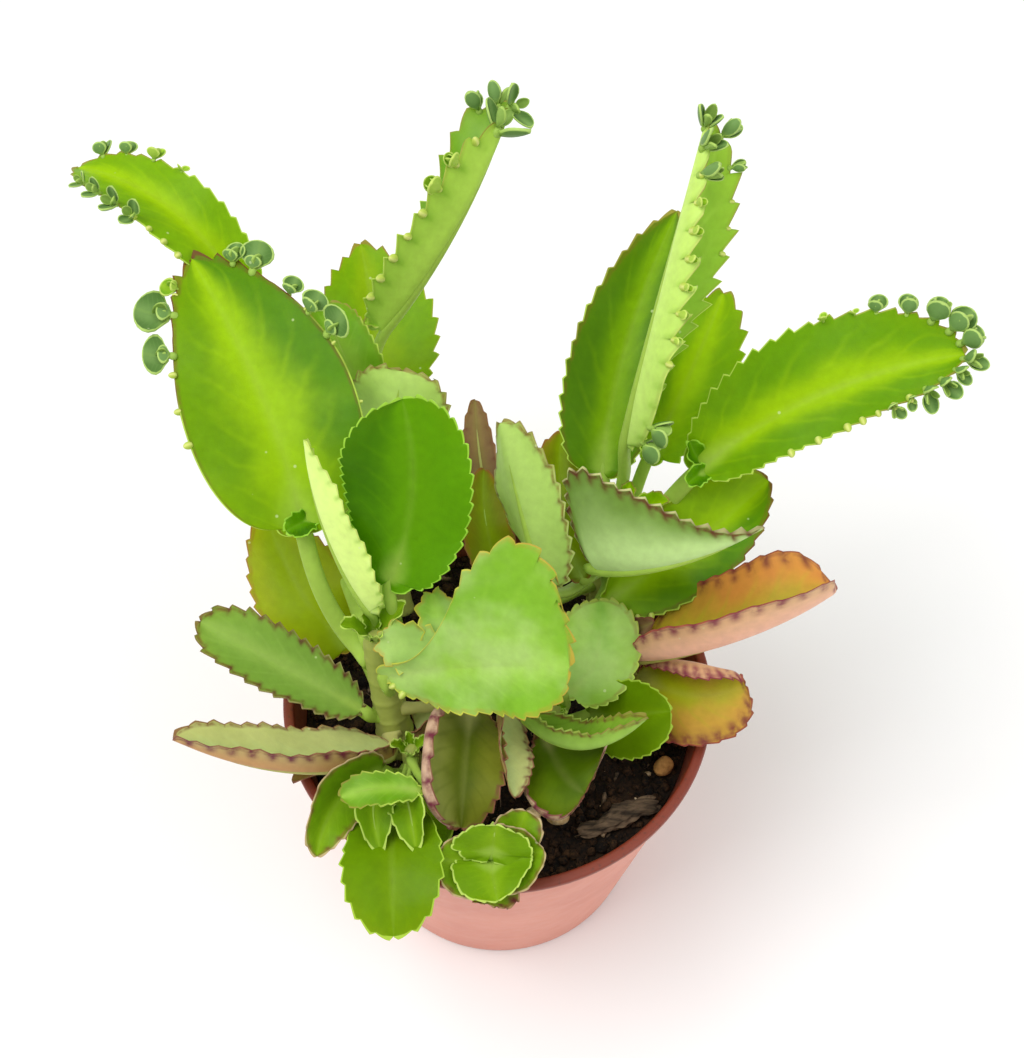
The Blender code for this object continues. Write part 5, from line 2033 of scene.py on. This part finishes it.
          blot=1.5, start=(0.36, 0.1),
          growths=(Growth(PLANTLETS, LEFT, (13, 14, 14.8), 6.4, 4, 0.2, 0.9, 0.8, 28, 0.6),
                   Growth(PLANTLETS, RIGHT, (13.2, 14.3), 5.4, 4, 0.4, 0.9, 0.8, 30, 0.65),
                   Growth(SPROUTS, LEFT, (7, 8, 9, 10, 11, 12), 3.2, 2, -0.3, 0.9, 0.8, 25, 0.9),
                   Growth(PLANTLETS, LEFT, (1.6, 2.8), 5.8, 4, 0.4, 0.9, 0.7, 45),
                   Growth(BEADS, LEFT, (6, 7, 8, 9, 10, 11, 12, 13), 1.1, lift=-0.5),
                   Growth(BEADS, RIGHT, (10, 11, 12), 0.7, lift=0.2))),
)

LOBES = (
    Blade("leaf_a6_lobe_1", 0, (-15.8, -7.1, 121), (-23, -6.2, 124), (-30.1, -5.9, 126), (6, 5.5),
          (0.1, -0.55, 0.83), FROSTED_SHEEN, fold=8, teeth=6, depth=1.7, **SCALLOP),
    Blade("leaf_a6_lobe_2", 0, (-14.3, -3.7, 123), (-15.5, 1.1, 127), (-16.9, 6.3, 130), 4.5,
          (0.1, -0.5, 0.86), FROSTED_SHEEN, fold=12, teeth=5, depth=1.5, **SCALLOP),
    Blade("leaf_a7_lobe", 0, (-49.3, 22.2, 141), (-51.6, 19.8, 142), (-54.5, 17.6, 142), (4, 3),
          (0.1, -0.4, 0.9), DEEP, fold=25, thick=1.2, base=0.7, belly=0.5, point=0.4, teeth=5, depth=0.6,
          lobe=True),
    Blade("leaf_b4_lobe", 0, (-31.7, 86.6, 150), (-34.6, 84.5, 151), (-37.6, 83.3, 151), 2.2,
          (0.1, -0.5, 0.86), PALE, fold=20, thick=1.0, base=0.6, teeth=4, depth=0.4, lobe=True),
    Blade("leaf_f11_lobe_1", 0, (55, 40.1, 142), (52.9, 41.1, 145), (51.3, 42.8, 148), 3, (0.2, -0.5, 0.86),
          DEEP, **EAR),
    Blade("leaf_f11_lobe_2", 0, (54.7, 36.7, 142), (52.3, 34.2, 143), (50.5, 32.2, 143), 3,
          (0.2, -0.5, 0.86), DEEP, **EAR),
    Blade("leaf_d6_small", 0, (2.2, -52, 100), (5.3, -48.9, 104), (7.5, -44.5, 107), 6.5, (0.1, -0.5, 0.86),
          YOUNG_PINK, fold=20, thick=1.2, base=0.5, belly=0.5, point=0.4, teeth=7, depth=0.4, lobe=True),
    Blade("leaf_e6_dry", 0, (33.3, 7.9, 104), (37.9, 7.4, 110), (42.5, 7.5, 114), 3.5, (0.1, -0.3, 0.9),
          DRY, fold=35, thick=1.0, base=0.4, belly=0.5, teeth=6, depth=0.5, lobe=True),
)

CROWNS = (
    Crown("stem_a", (13, 12, 9, 8), 20),
    Crown("stem_b", (10, 9, 7, 6), 60),
    Crown("stem_c", (7, 7, 5, 5), 10),
    Crown("stem_d", (5, 5, 3.5, 3.5), 70, 40),
    Crown("stem_e", (8, 8, 6, 5), 50),
    Crown("stem_f", (17, 14, 10, 9), -20, 32, SUNLIT),
)

PEBBLES = (
    Pebble("stone_cream", (16.5, -34.5, 83.0), (3.2, 2.8, 2.7), 20, CREAM),
    Pebble("stone_pale", (9.5, -34.5, 82.4), (2.6, 2.2, 2.1), 70, CREAM),
    Pebble("stone_orange", (46, -20, 82.6), (3.0, 2.4, 2.3), 35, AMBER),
)


# --- floor, light and camera


@dataclass
class Studio:
    """A pale floor, soft light from above and the camera. Metres.

    aim: where the lamps look. floor_drop: how far the floor lies under the pot.
    """

    eye: Point = (0.004, -0.195, 0.4355)
    pitch: float = 54.0
    lens: float = 47.64
    ambient: float = 0.56
    aim: Point = (0, 0.02, 0.1)
    floor_radius: float = 2.5
    floor_drop: float = 0.0004

    def floor(self) -> None:
        """Lay a wide pale floor."""
        shape = bmesh.new()
        bmesh.ops.create_circle(shape, cap_ends=True, segments=96, radius=self.floor_radius)
        mesh = bpy.data.meshes.new("floor")
        shape.to_mesh(mesh)
        shape.free()
        material, g, shader = new_material("pale_floor")
        tone = g.mix(g.noise(3.0, 2.0), (0.97, 0.97, 0.97), (0.985, 0.985, 0.985))
        g.put(tone, shader.inputs["Base Color"])
        shader.inputs["Roughness"].default_value = 0.9
        mesh.materials.append(material)
        floor = link("floor", mesh)
        floor.location.z = -self.floor_drop

    def lamp(self, name: str, spot: Point, size: float, power: float, tint: Colour) -> None:
        """Hang a soft square lamp that faces the plant.

        Args:
            name: Name of the lamp.
            spot: Where it hangs.
            size: Width of its face.
            power: Its power in watts.
            tint: Its colour.
        """
        data = bpy.data.lights.new(name, "AREA")
        data.size = size
        data.energy = power
        data.color = tint
        lamp = link(name, data)
        lamp.location = spot
        lamp.rotation_euler = (Vector(self.aim) - Vector(spot)).to_track_quat("-Z", "Y").to_euler()

    def build(self) -> None:
        """Set up the floor, the lamps, the sky and the camera."""
        self.floor()
        self.lamp("key", (-1.0, -0.25, 2.3), 1.7, 38.0, (1.0, 1.0, 0.99))
        self.lamp("fill", (1.4, -0.6, 1.5), 1.7, 10.0, (1.0, 1.0, 1.0))
        world = bpy.data.worlds.new("soft_sky")
        world.use_nodes = True
        set_inputs(world.node_tree.nodes["Background"], Color=(1.0, 1.0, 1.0, 1.0), Strength=self.ambient)
        scene = bpy.context.scene
        scene.world = world
        scene.view_settings.view_transform = "Standard"
        camera = bpy.data.cameras.new("camera")
        camera.lens = self.lens
        camera.sensor_width = 36.0
        camera.sensor_fit = "AUTO"
        camera.clip_start = 0.01
        holder = link("camera", camera)
        holder.location = self.eye
        holder.rotation_euler = (math.radians(90 - self.pitch), 0.0, 0.0)
        scene.camera = holder


def main() -> None:
    """Build the studio, the pot, the soil and the plant."""
    logging.basicConfig(level=logging.INFO, format="%(message)s")
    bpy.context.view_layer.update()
    Studio().build()
    recipes = Recipes()
    LOG.info("pot: %s", NurseryPot().build().name)
    for piece in PottingMix().build(recipes):
        LOG.info("soil: %s", piece.name)
    for pebble in PEBBLES:
        LOG.info("stone: %s", pebble.build(recipes).name)
    LOG.info("bark: %s", BarkChip().build(recipes).name)
    stem_skin = replace(YOUNG, name="stem_skin", stalk=(0.42, 0.47, 0.11)).make(recipes)
    stems = {stem.name: stem for stem in STEMS}
    for stem in STEMS:
        LOG.info("stem: %s", stem.build(stem_skin).name)
    broods = {Brood.BEADS: BEAD.make(recipes), Brood.SPROUTS: SPROUT.make(recipes),
              Brood.PLANTLETS: OFFSHOOT.make(recipes)}
    for index, blade in enumerate(BLADES):
        LOG.info("leaf: %s", blade.build(stems[blade.stem], recipes.dress(blade.finish)).name)
        for piece in Nursery(100 + index).build(blade, broods):
            LOG.info("growth: %s", piece.name)
    for lobe in LOBES:
        LOG.info("lobe: %s", lobe.build(stems[lobe.stem], recipes.dress(lobe.finish)).name)
    for crown in CROWNS:
        for piece in crown.build(stems[crown.stem], recipes.dress(crown.finish)):
            LOG.info("young leaf: %s", piece.name)


if __name__ == "__main__":
    main()
